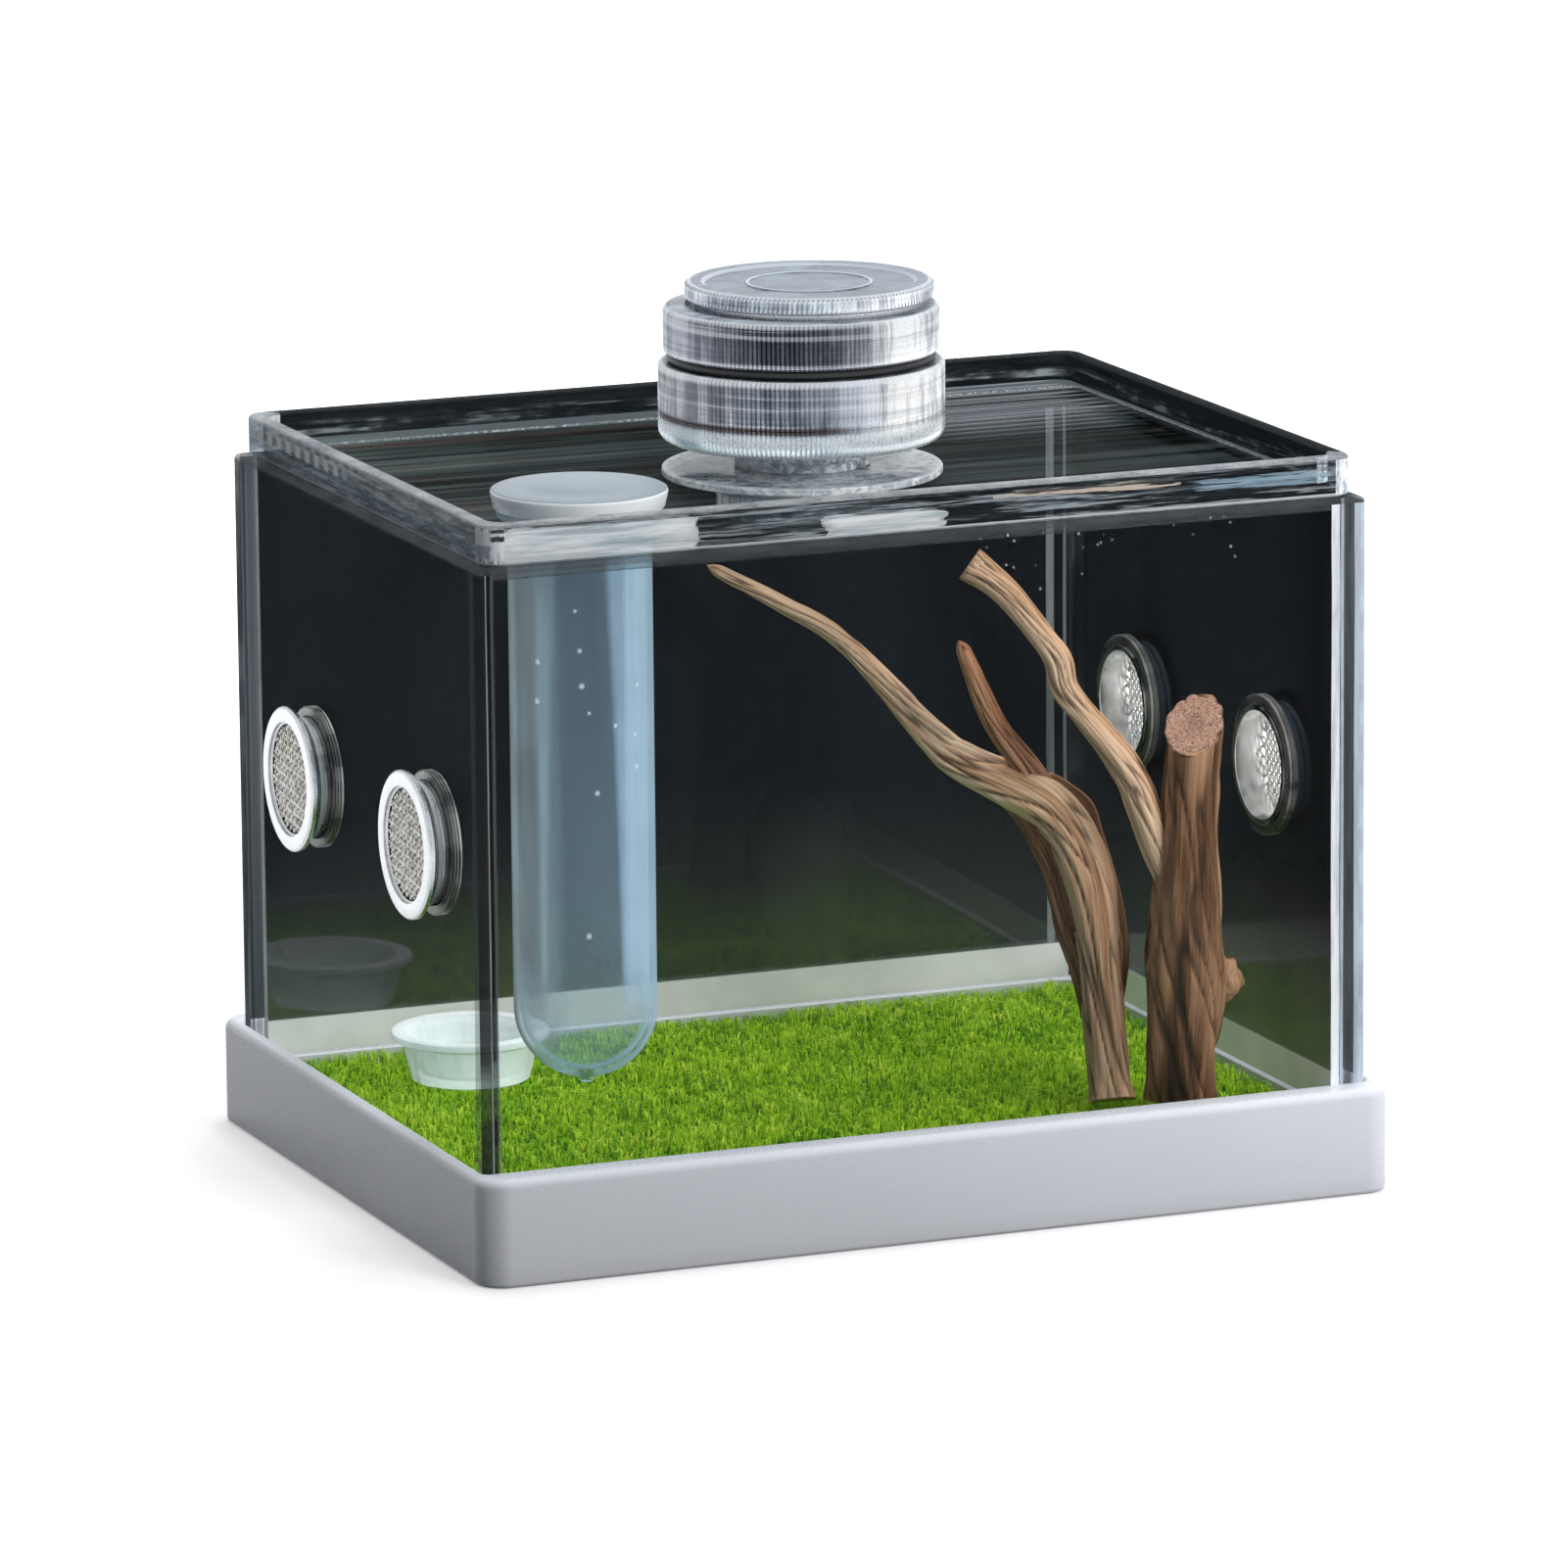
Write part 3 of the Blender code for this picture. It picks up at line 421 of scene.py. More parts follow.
def round_cutter(radius, low, high, place, turned, material):
    """A rod that cuts a round hole, and gives the hole's wall its material."""
    bm = bmesh.new()
    bmesh.ops.create_cone(bm, cap_ends=True, segments=96, radius1=radius, radius2=radius,
                          depth=high - low)
    bmesh.ops.translate(bm, vec=(0, 0, (low + high) / 2), verts=bm.verts)
    if turned:
        bmesh.ops.rotate(bm, cent=(0, 0, 0), matrix=Matrix.Rotation(math.pi / 2, 3, "Y"),
                         verts=bm.verts)
    bmesh.ops.translate(bm, vec=place, verts=bm.verts)
    cutter = new_object("round_cutter", finish_mesh("round_cutter", bm), [material])
    cutter.hide_render = True
    return cutter


def dress(piece, body, slot, *nodes):
    """The piece rides on its body and stands for the CAD nodes. The slot is not used."""
    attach(piece, body)
    if nodes:
        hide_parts(*nodes)
    return piece


# Materials

def white_plastic(name, colour, roughness=0.3, shade=True):
    shader = Shader(name)
    place = shader.coords()
    cloudy = shader.noise(place, 0.035, 3.0)
    fine = shader.noise(place, 1.6, 4.0, 0.7)
    tone = shader.mix(shader.span(cloudy, 0.3, 0.7, 0.0, 0.5), colour,
                      tuple(min(c * 1.06, 1.0) for c in colour))
    # painted shade: the plastic grows darker towards its foot, in its lowest 5 mm
    if shade:
        low = shader.span(shader.split(place)[2], 0.0, 5.0, 0.16, 0.0)
        tone = shader.mix(low, tone, tuple(c * 0.55 for c in colour))
    return shader.surface(shader.principled(
        Base_Color=tone, Roughness=shader.span(fine, 0.2, 0.8, roughness - 0.05, roughness + 0.09),
        IOR=1.46, Normal=shader.bump(fine, 0.00002, 0.4)))


def banded(shader, value, bands):
    """Painted highlights and painted dark lines across a wall. Each band is (from, to, colour, share), and
    between them the wall is clear. Gives the lines' colour and their share."""
    place = shader.coords()
    sway = shader.grain(place, (0.2, 0.2, 1.0), 0.04, 2.0)
    value = shader.plus(value, shader.times(shader.minus(sway, 0.5), 0.5))
    colour, share = (0.0, 0.0, 0.0), 0.0
    fine = shader.grain(place, (1.0, 1.0, 0.08), 0.5, 4.0, 0.7)
    broken = shader.span(fine, 0.25, 0.6, 0.72, 1.0)
    for low, high, band_colour, band_share in bands:
        inside = shader.window(value, low - 0.1, low + 0.15, high - 0.15, high + 0.1)
        colour = shader.mix(inside, colour, band_colour)
        share = shader.most(share, shader.times(inside, band_share))
    return colour, shader.times(share, broken)


def clear_wall(name, along, bands, gloss=0.0015):
    """A front or left wall: clear, with painted highlights and painted dark lines near its glued ends.
    along is 0 for x and 1 for y.
    """
    shader = Shader(name)
    place = shader.coords()
    streaks = shader.grain(place, (1.0, 1.0, 0.05), 0.5, 3.0, 0.6)
    film = shader.span(streaks, 0.5, 0.85, 0.0, 0.016 if along == 0 else 0.003)
    colour, share = (0.3, 0.36, 0.4), film
    if bands:
        line_colour, lines = banded(shader, shader.split(place)[along], bands)
        colour = shader.mix(lines, colour, line_colour)
        share = shader.most(film, lines)
    return shader.surface(shader.clear((0.975, 0.985, 0.985), share, colour, gloss, 0.05, edge=0.003))


def painted_dark_wall(name, along, bands, gloss, near_gloss, tray_white=0.0, pale=(0.07, 0.082, 0.080)):
    """A back or right wall: a painted dark tint above the tray's rim, standing in for dark surroundings
    seen through the clear wall, with a painted pale reflection low down. Below the rim its inner face is
    painted with the lit white of the tray behind it."""
    shader = Shader(name)
    place = shader.coords()
    z = shader.split(place)[2]
    blurred = shader.grain(place, (1.0, 1.0, 0.45), 0.032, 2.0, 0.5)
    over = shader.span(z, 19.9, 20.3)
    # painted shade: the dark tint above the rim stands in for dark surroundings seen through the clear wall
    tint = shader.mix(over, (0.95, 0.97, 0.97), (0.085, 0.1, 0.11))
    # painted reflection: a paler haze low down, in blurred patches
    low_painted_reflection = shader.span(z, 20.0, 62.0, 1.0, 0.0)
    patches = shader.span(blurred, 0.36, 0.68, 0.45, 1.0)
    glow = shader.times(patches, shader.times(over, 0.8))
    haze_colour = shader.mix(low_painted_reflection, (0.011, 0.013, 0.018), pale)
    colour = haze_colour
    if bands:
        line_colour, lines = banded(shader, shader.split(place)[along], bands)
        lines = shader.times(lines, over)
        colour = shader.mix(lines, haze_colour, line_colour)
        glow = shader.most(glow, lines)
    # painted light: below the rim the inner face takes the lit white of the tray behind it
    if tray_white:
        cloud = shader.noise(place, 0.08, 2.0)
        white = shader.mix(shader.span(cloud, 0.3, 0.7), (0.86, 0.84, 0.88), (0.97, 0.95, 0.98))
        colour = shader.mix(over, white, colour)
        glow = shader.most(glow, shader.span(z, 19.9, 20.3, tray_white, 0.0))
    made = shader.clear(tint, glow, colour, gloss, 0.04)
    if near_gloss > gloss:
        near = shader.times(shader.span(z, 20.3, 55.0, near_gloss, gloss), over)
        look = made.node.inputs[1].links[0].from_node
        shader.tree.links.new(near, look.inputs[0])
    return shader.surface(made)


def corner_end(name, colour):
    """The glued corner between two walls. Its colour is painted: shade at the dark corners, a highlight at
    the pale ones.
    """
    shader = Shader(name)
    place = shader.coords()
    fine = shader.grain(place, (1.0, 1.0, 0.06), 1.4, 4.0, 0.7)
    broken = shader.grain(place, (0.3, 0.3, 1.0), 0.12, 3.0)
    tone = shader.mix(shader.span(fine, 0.4, 0.75, 0.0, 0.4), colour, tuple(c * 0.25 for c in colour))
    return shader.surface(shader.clear((0.8, 0.85, 0.87), shader.span(broken, 0.3, 0.6, 0.7, 0.95), tone,
                                       0.01, 0.1))


def painted_edge_light(name, light=0.8, haze=0.8, gloss=0.06):
    """An edge with painted light: a painted highlight where light is high, and a painted dark line where it
    is low.
    """
    shader = Shader(name)
    place = shader.coords()
    broken = shader.grain(place, (0.25, 0.25, 1.0), 0.5, 4.0, 0.75)
    fine = shader.noise(place, 2.2, 2.0)
    colour = shader.ramp(broken, [(0.3, (light * 0.32, light * 0.35, light * 0.38)),
                                  (0.5, (light * 0.7, light * 0.75, light * 0.8)),
                                  (0.65, (light, light, light))])
    share = shader.times(shader.span(fine, 0.25, 0.6, 0.7, 1.0), haze)
    return shader.surface(shader.clear((0.9, 0.94, 0.95), share, colour, gloss, 0.15))


def plate_glass(name):
    """The lid's plate, with lines from side to side and a stack of bright ones towards the back right."""
    shader = Shader(name)
    place = shader.coords()
    x, y = shader.split(place)[:2]
    lines = shader.grain(place, (0.012, 1.0, 1.0), 0.11, 4.0, 0.75)
    fine = shader.grain(place, (0.02, 1.0, 1.0), 0.42, 3.0, 0.7)
    patch = shader.noise(place, 0.022, 2.0)
    left = shader.span(x, -85.0, -10.0, 1.0, 0.5)
    both = shader.plus(shader.times(lines, 0.6), shader.times(fine, 0.4))
    haze = shader.times(shader.span(both, 0.45, 0.62), shader.span(patch, 0.3, 0.7, 0.14, 0.40))
    haze = shader.times(haze, left)
    sway = shader.times(lines, 5.0)
    beat = shader.math("FRACT", shader.math("DIVIDE", shader.plus(y, sway), 4.4))
    stripe = shader.window(beat, 0.2, 0.4, 0.45, 0.65)
    where = shader.times(shader.window(x, 28.0, 48.0, 76.0, 82.0),
                         shader.span(y, 8.0, 34.0))
    stripe = shader.times(shader.times(stripe, where), 0.42)
    haze = shader.most(haze, stripe)
    brown = shader.grain(place, (0.02, 0.3, 1.0), 0.25, 2.0)
    colour = shader.mix(shader.span(brown, 0.5, 0.62), (0.20, 0.28, 0.27), (0.25, 0.20, 0.18))
    colour = shader.mix(where, colour, (0.42, 0.46, 0.50))
    return shader.surface(shader.clear((0.91, 0.925, 0.93), haze, colour, 0.005, 0.08, edge=0.010))


def painted_dark_rim(name, gloss=0.004):
    """The lid's back and right skirts: a painted dark tint, standing in for dark surroundings seen through
    them, black along the top, with a streaky grey band lower down.
    """
    shader = Shader(name)
    place = shader.coords()
    z = shader.split(place)[2]
    lines = shader.grain(place, (0.05, 0.05, 1.0), 0.9, 3.0, 0.7)
    patch = shader.grain(place, (0.5, 0.5, 1.0), 0.16, 3.0, 0.7)
    band = shader.window(z, 132.2, 133.2, 134.6, 136.2)
    streak = shader.times(shader.span(lines, 0.42, 0.62), shader.span(patch, 0.38, 0.6, 0.2, 1.0))
    streak = shader.times(streak, shader.most(band, 0.12))
    share = shader.most(streak, 0.35)
    colour = shader.mix(streak, (0.006, 0.008, 0.010), (0.34, 0.39, 0.40))
    return shader.surface(shader.clear((0.085, 0.10, 0.11), share, colour, gloss, 0.1))


def glinting_rim(name):
    """The lid's left skirt: painted glints, rounded and in a row, above a bluish half, and a painted
    highlight along its foot.
    """
    shader = Shader(name)
    place = shader.coords()
    y, z = shader.split(place)[1:3]
    beat = shader.math("FRACT", shader.math("DIVIDE", y, 5.2))
    block = shader.window(beat, 0.12, 0.3, 0.66, 0.86)
    tall = shader.window(z, 133.6, 134.2, 135.9, 136.5)
    back_half = shader.span(y, 2.0, 12.0)
    glint = shader.times(shader.times(block, tall), back_half)
    streak = shader.grain(place, (1.0, 0.08, 1.0), 0.9, 4.0, 0.75)
    lower = shader.span(z, 134.2, 133.2)
    upper = shader.ramp(streak, [(0.38, (0.05, 0.06, 0.07)), (0.48, (0.26, 0.3, 0.32)),
                                 (0.6, (0.8, 0.83, 0.85))])
    blue = shader.ramp(streak, [(0.38, (0.04, 0.07, 0.11)), (0.5, (0.2, 0.3, 0.4)),
                                (0.6, (0.55, 0.66, 0.76))])
    colour = shader.mix(lower, upper, blue)
    colour = shader.mix(glint, colour, (0.88, 0.9, 0.92))
    # painted highlight: a pale line along the skirt's foot
    foot = shader.span(z, 130.7, 130.9, 1.0, 0.0)
    colour = shader.mix(foot, colour, (0.45, 0.5, 0.55))
    share = shader.most(shader.span(streak, 0.3, 0.7, 0.45, 0.8), glint)
    return shader.surface(shader.clear((0.8, 0.86, 0.9), share, colour, 0.02, 0.12))


def corner_glints(name, dark_rows):
    """A lid corner: a white column that is a painted highlight, and beside it, where asked for, two rows of
    dark marks.
    """
    shader = Shader(name)
    place = shader.coords()
    x, y, z = shader.split(place)[:3]
    blocks = shader.grain(place, (1.2, 1.2, 0.35), 0.8, 3.0, 0.7)
    # painted highlight: pale to white blocks up the corner
    colour = shader.ramp(blocks, [(0.38, (0.28, 0.34, 0.42)), (0.46, (0.7, 0.76, 0.82)),
                                  (0.55, (0.92, 0.95, 0.97))])
    if dark_rows:
        wave = shader.times(shader.minus(blocks, 0.5), 0.9)
        level = shader.plus(z, wave)
        first = shader.window(level, 136.1, 136.25, 136.75, 136.9)
        second = shader.window(level, 134.6, 134.8, 135.5, 135.7)
        dark = shader.most(first, second)
        dark = shader.times(dark, shader.span(shader.minus(x, y), -20.6, -19.4))
        colour = shader.mix(dark, colour, (0.010, 0.016, 0.012))
        purple = shader.times(shader.span(z, 134.2, 133.6), shader.span(z, 131.4, 131.9))
        purple = shader.times(purple, shader.span(shader.minus(x, y), -20.0, -21.0))
        colour = shader.mix(shader.times(purple, 0.8), colour, (0.34, 0.35, 0.46))
    return shader.surface(shader.clear((0.6, 0.65, 0.68), shader.span(blocks, 0.3, 0.6, 0.8, 0.97), colour,
                                       0.02, 0.12))


def front_rim_glass(name):
    """The lid's front skirt: dark and clear, with broken lines, pale patches of painted light where the
    tube and the port show through, and a painted highlight along its foot.
    """
    shader = Shader(name)
    place = shader.coords()
    x, _, z = shader.split(place)[:3]
    lines = shader.grain(place, (0.035, 1.0, 1.0), 0.8, 4.0, 0.75)
    wide = shader.grain(place, (0.06, 1.0, 1.0), 0.42, 4.0, 0.75)
    ragged = shader.times(shader.minus(wide, 0.5), 6.0)
    along = shader.plus(x, ragged)
    # painted light: pale patches where the tube and the port show through the skirt
    tube_end = shader.window(along, -83.0, -81.5, -45.0, -43.8)
    tube_end = shader.times(tube_end, shader.span(z, 136.6, 136.0))
    port_end = shader.window(along, -22.0, -16.0, 2.0, 5.0)
    low = shader.span(z, 134.4, 133.2)
    right_end = shader.window(along, 50.0, 58.0, 78.0, 81.0)
    middle = shader.window(z, 132.6, 133.2, 134.6, 135.2)
    blue = shader.times(shader.times(right_end, middle), shader.span(lines, 0.45, 0.6, 0.0, 0.75))
    patch = shader.times(tube_end, shader.span(wide, 0.36, 0.6, 0.5, 0.9))
    patch = shader.plus(patch, shader.times(port_end, shader.times(low, 0.85)),
                        clamp=True)
    crest = shader.plus(135.2, shader.times(shader.minus(lines, 0.5), 3.2))
    off = shader.apart(z, crest)
    wavy = shader.times(shader.span(off, 0.16, 0.34, 0.8, 0.0),
                        shader.window(x, 10.0, 24.0, 44.0, 52.0))
    thin = shader.times(shader.span(lines, 0.52, 0.62), 0.26)
    dark = shader.times(shader.span(wide, 0.60, 0.48), 0.8)
    haze = shader.most(shader.most(thin, dark), patch)
    haze = shader.most(shader.most(haze, blue), wavy)
    colour = shader.mix(shader.span(lines, 0.50, 0.60), (0.006, 0.008, 0.012), (0.40, 0.46, 0.5))
    pale = shader.ramp(wide, [(0.38, (0.42, 0.50, 0.54)), (0.46, (0.70, 0.78, 0.82)),
                              (0.55, (0.97, 0.99, 1.0))])
    colour = shader.mix(shader.math("GREATER_THAN", patch, 0.3), colour, pale)
    colour = shader.mix(shader.math("GREATER_THAN", blue, 0.1), colour, (0.30, 0.42, 0.52))
    colour = shader.mix(shader.math("GREATER_THAN", wavy, 0.1), colour, (0.72, 0.62, 0.54))
    # painted highlight: a pale line along the skirt's foot
    foot = shader.span(z, 130.75, 130.95, 1.0, 0.0)
    colour = shader.mix(foot, colour, (0.72, 0.77, 0.80))
    haze = shader.most(haze, shader.times(foot, 0.85))
    return shader.surface(shader.clear((0.9, 0.93, 0.94), haze, colour, 0.004, 0.08))


def ridged_plastic(name, axis, stops, low, high, seam=None):
    """Finely ridged clear plastic, which looks silvery. Its light and dark streaks, painted reflections and
    highlights, lie round its axis, and its rims carry painted highlights.
    """
    shader = Shader(name)
    place = shader.coords()
    centred = shader.from_axis(place, axis)
    x, y, z = shader.split(centred)[:3]
    angle = shader.math("ARCTAN2", y, x)
    turn = shader.math("FRACT", shader.plus(shader.math("DIVIDE", angle, math.tau), 1.0))
    around = shader.node("CombineXYZ", {0: shader.math("COSINE", angle), 1: shader.math("SINE", angle),
                                        2: shader.times(z, 0.003)}).outputs[0]
    streaks = shader.noise(around, 7.0, 5.0, 0.75)
    broad = shader.noise(around, 2.0, 2.0)
    level = shader.grain(place, (0.01, 0.01, 1.0), 0.9, 4.0, 0.75)
    where = shader.plus(turn, shader.times(shader.minus(broad, 0.5), 0.05))
    # painted reflections and highlights: the stops run round the axis from lit to dark
    base = shader.ramp(where, stops)
    dark = shader.span(streaks, 0.56, 0.40, 0.0, 0.7)
    colour = shader.mix(dark, base, shader.mix(1.0, base, (0.25, 0.27, 0.31), "MULTIPLY"))
    light = shader.span(streaks, 0.56, 0.68, 0.0, 0.6)
    colour = shader.mix(light, colour, (0.93, 0.94, 0.96))
    colour = shader.mix(shader.span(level, 0.52, 0.40, 0.0, 0.5), colour,
                        shader.mix(1.0, colour, (0.45, 0.47, 0.52), "MULTIPLY"))
    colour = shader.mix(shader.span(level, 0.55, 0.66, 0.0, 0.4), colour, (0.9, 0.92, 0.96))
    # painted highlights along the low and high rims
    rim = shader.plus(shader.span(z, low, low + 1.2, 0.8, 0.0),
                      shader.span(z, high - 1.2, high - 0.2, 0.0, 0.6), clamp=True)
    colour = shader.mix(rim, colour, (0.85, 0.88, 0.92))
    # painted highlight below the seam; the seam's dark line is partly a real joint and partly painted
    # shade, stronger on the side facing the camera
    if seam is not None:
        off = shader.apart(z, seam)
        facing_part = shader.window(turn, 0.42, 0.5, 0.70, 0.78)
        pale = shader.span(z, seam - 0.3, seam - 1.6, 0.0, 0.9)
        colour = shader.mix(pale, colour, (0.93, 0.97, 1.0))
        line = shader.times(shader.span(off, 0.35, 0.95, 0.85, 0.0),
                            shader.most(facing_part, 0.2))
        colour = shader.mix(line, colour, (0.10, 0.08, 0.08))
    fine = shader.noise(place, 2.5, 3.0)
    return shader.surface(shader.principled(Base_Color=colour, Metallic=0.72, IOR=1.49,
                                            Roughness=shader.span(fine, 0.3, 0.7, 0.16, 0.34)))


def clouded_top(name, dark, light, centre, rings):
    """An upward face of the port's clear plastic: grey-blue clouds and pale rings, which are painted
    highlights along its edges.
    """
    shader = Shader(name)
    place = shader.coords()
    reach = shader.reach(place, centre)
    clouds = shader.grain(place, (0.5, 1.0, 1.0), 0.12, 4.0, 0.7, distortion=1.2)
    colour = shader.ramp(clouds, [(0.36, dark), (0.5, tuple((a + b) / 2 for a, b in zip(dark, light))),
                                  (0.64, light)])
    for radius, width in rings:
        off = shader.apart(reach, radius)
        colour = shader.mix(shader.span(off, width * 0.4, width, 0.8, 0.0), colour, (0.62, 0.67, 0.74))
    return shader.surface(shader.principled(Base_Color=colour, IOR=1.3,
                                            Roughness=shader.span(clouds, 0.3, 0.7, 0.22, 0.42)))


def swirled_glass(name, dark=0.12, light=0.75, haze=0.62, scale=0.16, centre=None, rings=()):
    """Thick clear plastic, with painted light and dark swirls in place of what it would bend, and, where
    given, painted highlight rings.
    """
    shader = Shader(name)
    place = shader.coords()
    bent = shader.noise(place, scale, 3.0, 0.6, distortion=1.6)
    fine = shader.grain(place, (1.0, 1.0, 2.0), scale * 3.2, 3.0, 0.6, distortion=0.8)
    value = shader.plus(shader.times(bent, 0.65), shader.times(fine, 0.35))
    colour = shader.ramp(value, [(0.38, (dark, dark * 1.12, dark * 1.25)), (0.46, (0.44, 0.52, 0.60)),
                                 (0.54, (light, light, light))])
    share = shader.span(value, 0.35, 0.6, haze * 0.6, min(haze * 1.3, 1.0))
    if rings:
        reach = shader.reach(place, centre)
        reach = shader.plus(reach, shader.times(shader.minus(bent, 0.5), 3.0))
        for radius, width in rings:
            off = shader.apart(reach, radius)
            ring = shader.span(off, width * 0.3, width, 0.85, 0.0)
            colour = shader.mix(ring, colour, (0.78, 0.83, 0.88))
            share = shader.most(share, ring)
    return shader.surface(shader.clear((0.8, 0.85, 0.88), share, colour, 0.10, 0.08, edge=0.2))


def frosted(name, colour, middle, sides, start, end, gloss=0.01, ball=None):
    """Milky plastic: thin where it faces the eye, and dense where the wall turns away."""
    shader = Shader(name)
    place = shader.coords()
    facing = shader.node("LayerWeight", {0: 0.5}).outputs[1]
    dense = shader.span(facing, start, end, middle, sides)
    if ball is not None:
        z = shader.split(place)[2]
        rim = shader.span(facing, 0.5, 0.8, 0.06, 0.75)
        upper = shader.span(z, ball - 14.0, ball + 2.0)
        dense = shader.plus(shader.times(dense, upper),
                            shader.times(rim, shader.minus(1.0, upper)))
    streak = shader.grain(place, (1.0, 1.0, 0.05), 0.35, 3.0, 0.6)
    cloud = shader.noise(place, 0.06, 2.0)
    share = shader.times(dense, shader.span(streak, 0.3, 0.7, 0.88, 1.1))
    share = shader.times(share, shader.span(cloud, 0.3, 0.7, 0.9, 1.1), clamp=True)
    if ball is not None:
        # painted highlight: a pale band down the tube's left side
        left = shader.span(shader.split(place)[0], TUBE_AXIS[0] - 10.5, TUBE_AXIS[0] - 6.5, 1.0, 0.0)
        colour = shader.mix(left, colour, (0.82, 0.95, 1.0))
        share = shader.plus(share, shader.times(left, 0.26), clamp=True)
    return shader.surface(shader.clear((0.93, 0.96, 0.975), share, colour, gloss, 0.2, edge=0.03))


def spool_steel(name):
    """The vent's barrel and ring behind the wall, painted as reflections: dark, with thin bright lines
    round it, and the turf's green low down.
    """
    shader = Shader(name)
    place = shader.coords()
    x, _, z = shader.split(place)[:3]
    depth = shader.math("ABSOLUTE", x)
    lines = shader.noise(shader.node("CombineXYZ", {0: depth}).outputs[0], 1.5, 2.0, 0.6)
    drift = shader.grain(place, (0.1, 1.0, 1.0), 0.12, 2.0)
    bright = shader.times(shader.span(lines, 0.45, 0.55), shader.span(drift, 0.36, 0.6, 0.35, 1.0))
    tone = shader.mix(bright, (0.014, 0.016, 0.018), (0.62, 0.62, 0.60))
    # painted reflection of the turf: green low down
    green = shader.span(z, VENT_Z - 4.0, VENT_Z - 12.0, 0.0, 0.75)
    tone = shader.mix(green, tone, (0.03, 0.045, 0.016))
    return shader.surface(shader.principled(Base_Color=tone, Metallic=0.55,
                                            Roughness=shader.span(drift, 0.3, 0.7, 0.22, 0.4)))


def bright_steel(name):
    shader = Shader(name)
    place = shader.coords()
    turned = shader.grain(place, (6.0, 1.0, 1.0), 0.9, 4.0, 0.7)
    spots = shader.noise(place, 0.5, 3.0)
    tone = shader.ramp(turned, [(0.3, (0.50, 0.52, 0.54)), (0.7, (0.68, 0.70, 0.72))])
    rough = shader.plus(shader.span(turned, 0.3, 0.7, 0.2, 0.34),
                        shader.span(spots, 0.4, 0.8, 0.0, 0.08))
    return shader.surface(shader.principled(Base_Color=tone, Metallic=1.0, Roughness=rough,
                                            Normal=shader.bump(turned, 0.00002, 0.3)))


def bright_cup(name, middle):
    """The inside of a right vent: silvery, with a painted highlight at the far side and painted shade at
    the near one.
    """
    shader = Shader(name)
    place = shader.coords()
    y = shader.split(place)[1]
    drift = shader.grain(place, (1.0, 1.0, 0.3), 0.2, 1.5, 0.5)
    side = shader.span(y, middle - 9.0, middle + 9.0, -0.10, 0.10, smooth=False)
    tone = shader.ramp(shader.plus(drift, side), [
        (0.34, (0.05, 0.055, 0.06)), (0.44, (0.3, 0.31, 0.32)),
        (0.54, (0.72, 0.73, 0.74)), (0.64, (0.98, 0.98, 0.98))])
    return shader.surface(shader.principled(Base_Color=tone, Metallic=0.85,
                                            Roughness=shader.span(drift, 0.3, 0.7, 0.28, 0.16)))


def woven_steel(name):
    shader = Shader(name)
    place = shader.coords()
    spots = shader.noise(place, 0.8, 3.0, 0.6)
    tone = shader.ramp(spots, [(0.35, (0.46, 0.43, 0.40)), (0.58, (0.96, 0.94, 0.91))])
    return shader.surface(shader.principled(Base_Color=tone, Metallic=0.6,
                                            Roughness=shader.span(spots, 0.3, 0.7, 0.3, 0.5)))


def rubber(name):
    shader = Shader(name)
    grain = shader.noise(shader.coords(), 3.0, 3.0)
    tone = shader.ramp(grain, [(0.3, (0.006, 0.006, 0.007)), (0.7, (0.018, 0.018, 0.02))])
    return shader.surface(shader.principled(Base_Color=tone, IOR=1.5,
                                            Roughness=shader.span(grain, 0.3, 0.7, 0.35, 0.55),
                                            Normal=shader.bump(grain, 0.00003, 0.5)))


def grass(name):
    shader = Shader(name)
    place = shader.coords()
    along = shader.attribute("along")[2]
    tone = shader.attribute("tone")[2]
    patch = shader.noise(place, 0.05, 3.0, 0.6)
    colour = shader.ramp(tone, [(0.0, (0.05, 0.20, 0.008)), (0.3, (0.19, 0.47, 0.018)),
                                (0.6, (0.42, 0.74, 0.03)), (1.0, (0.78, 0.92, 0.12))])
    colour = shader.mix(shader.span(patch, 0.35, 0.65, 0.0, 0.45), colour, (0.50, 0.76, 0.035))
    # painted shade: the blades grow darker towards their roots
    colour = shader.mix(shader.span(along, 0.0, 0.5, 0.8, 0.0, smooth=False), colour,
                        (0.03, 0.10, 0.006))
    diffuse = shader.principled(Base_Color=colour, Roughness=0.42, IOR=1.4)
    glow = shader.node("BsdfTranslucent", {0: colour}).outputs[0]
    return shader.surface(shader.node("MixShader", {0: 0.3, 1: diffuse, 2: glow}).outputs[0])


def turf_base(name):
    shader = Shader(name)
    grain = shader.noise(shader.coords(), 1.4, 4.0, 0.7)
    tone = shader.ramp(grain, [(0.3, (0.02, 0.07, 0.006)), (0.7, (0.07, 0.2, 0.02))])
    return shader.surface(shader.principled(Base_Color=tone, Roughness=0.9,
                                            Normal=shader.bump(grain, 0.0002)))


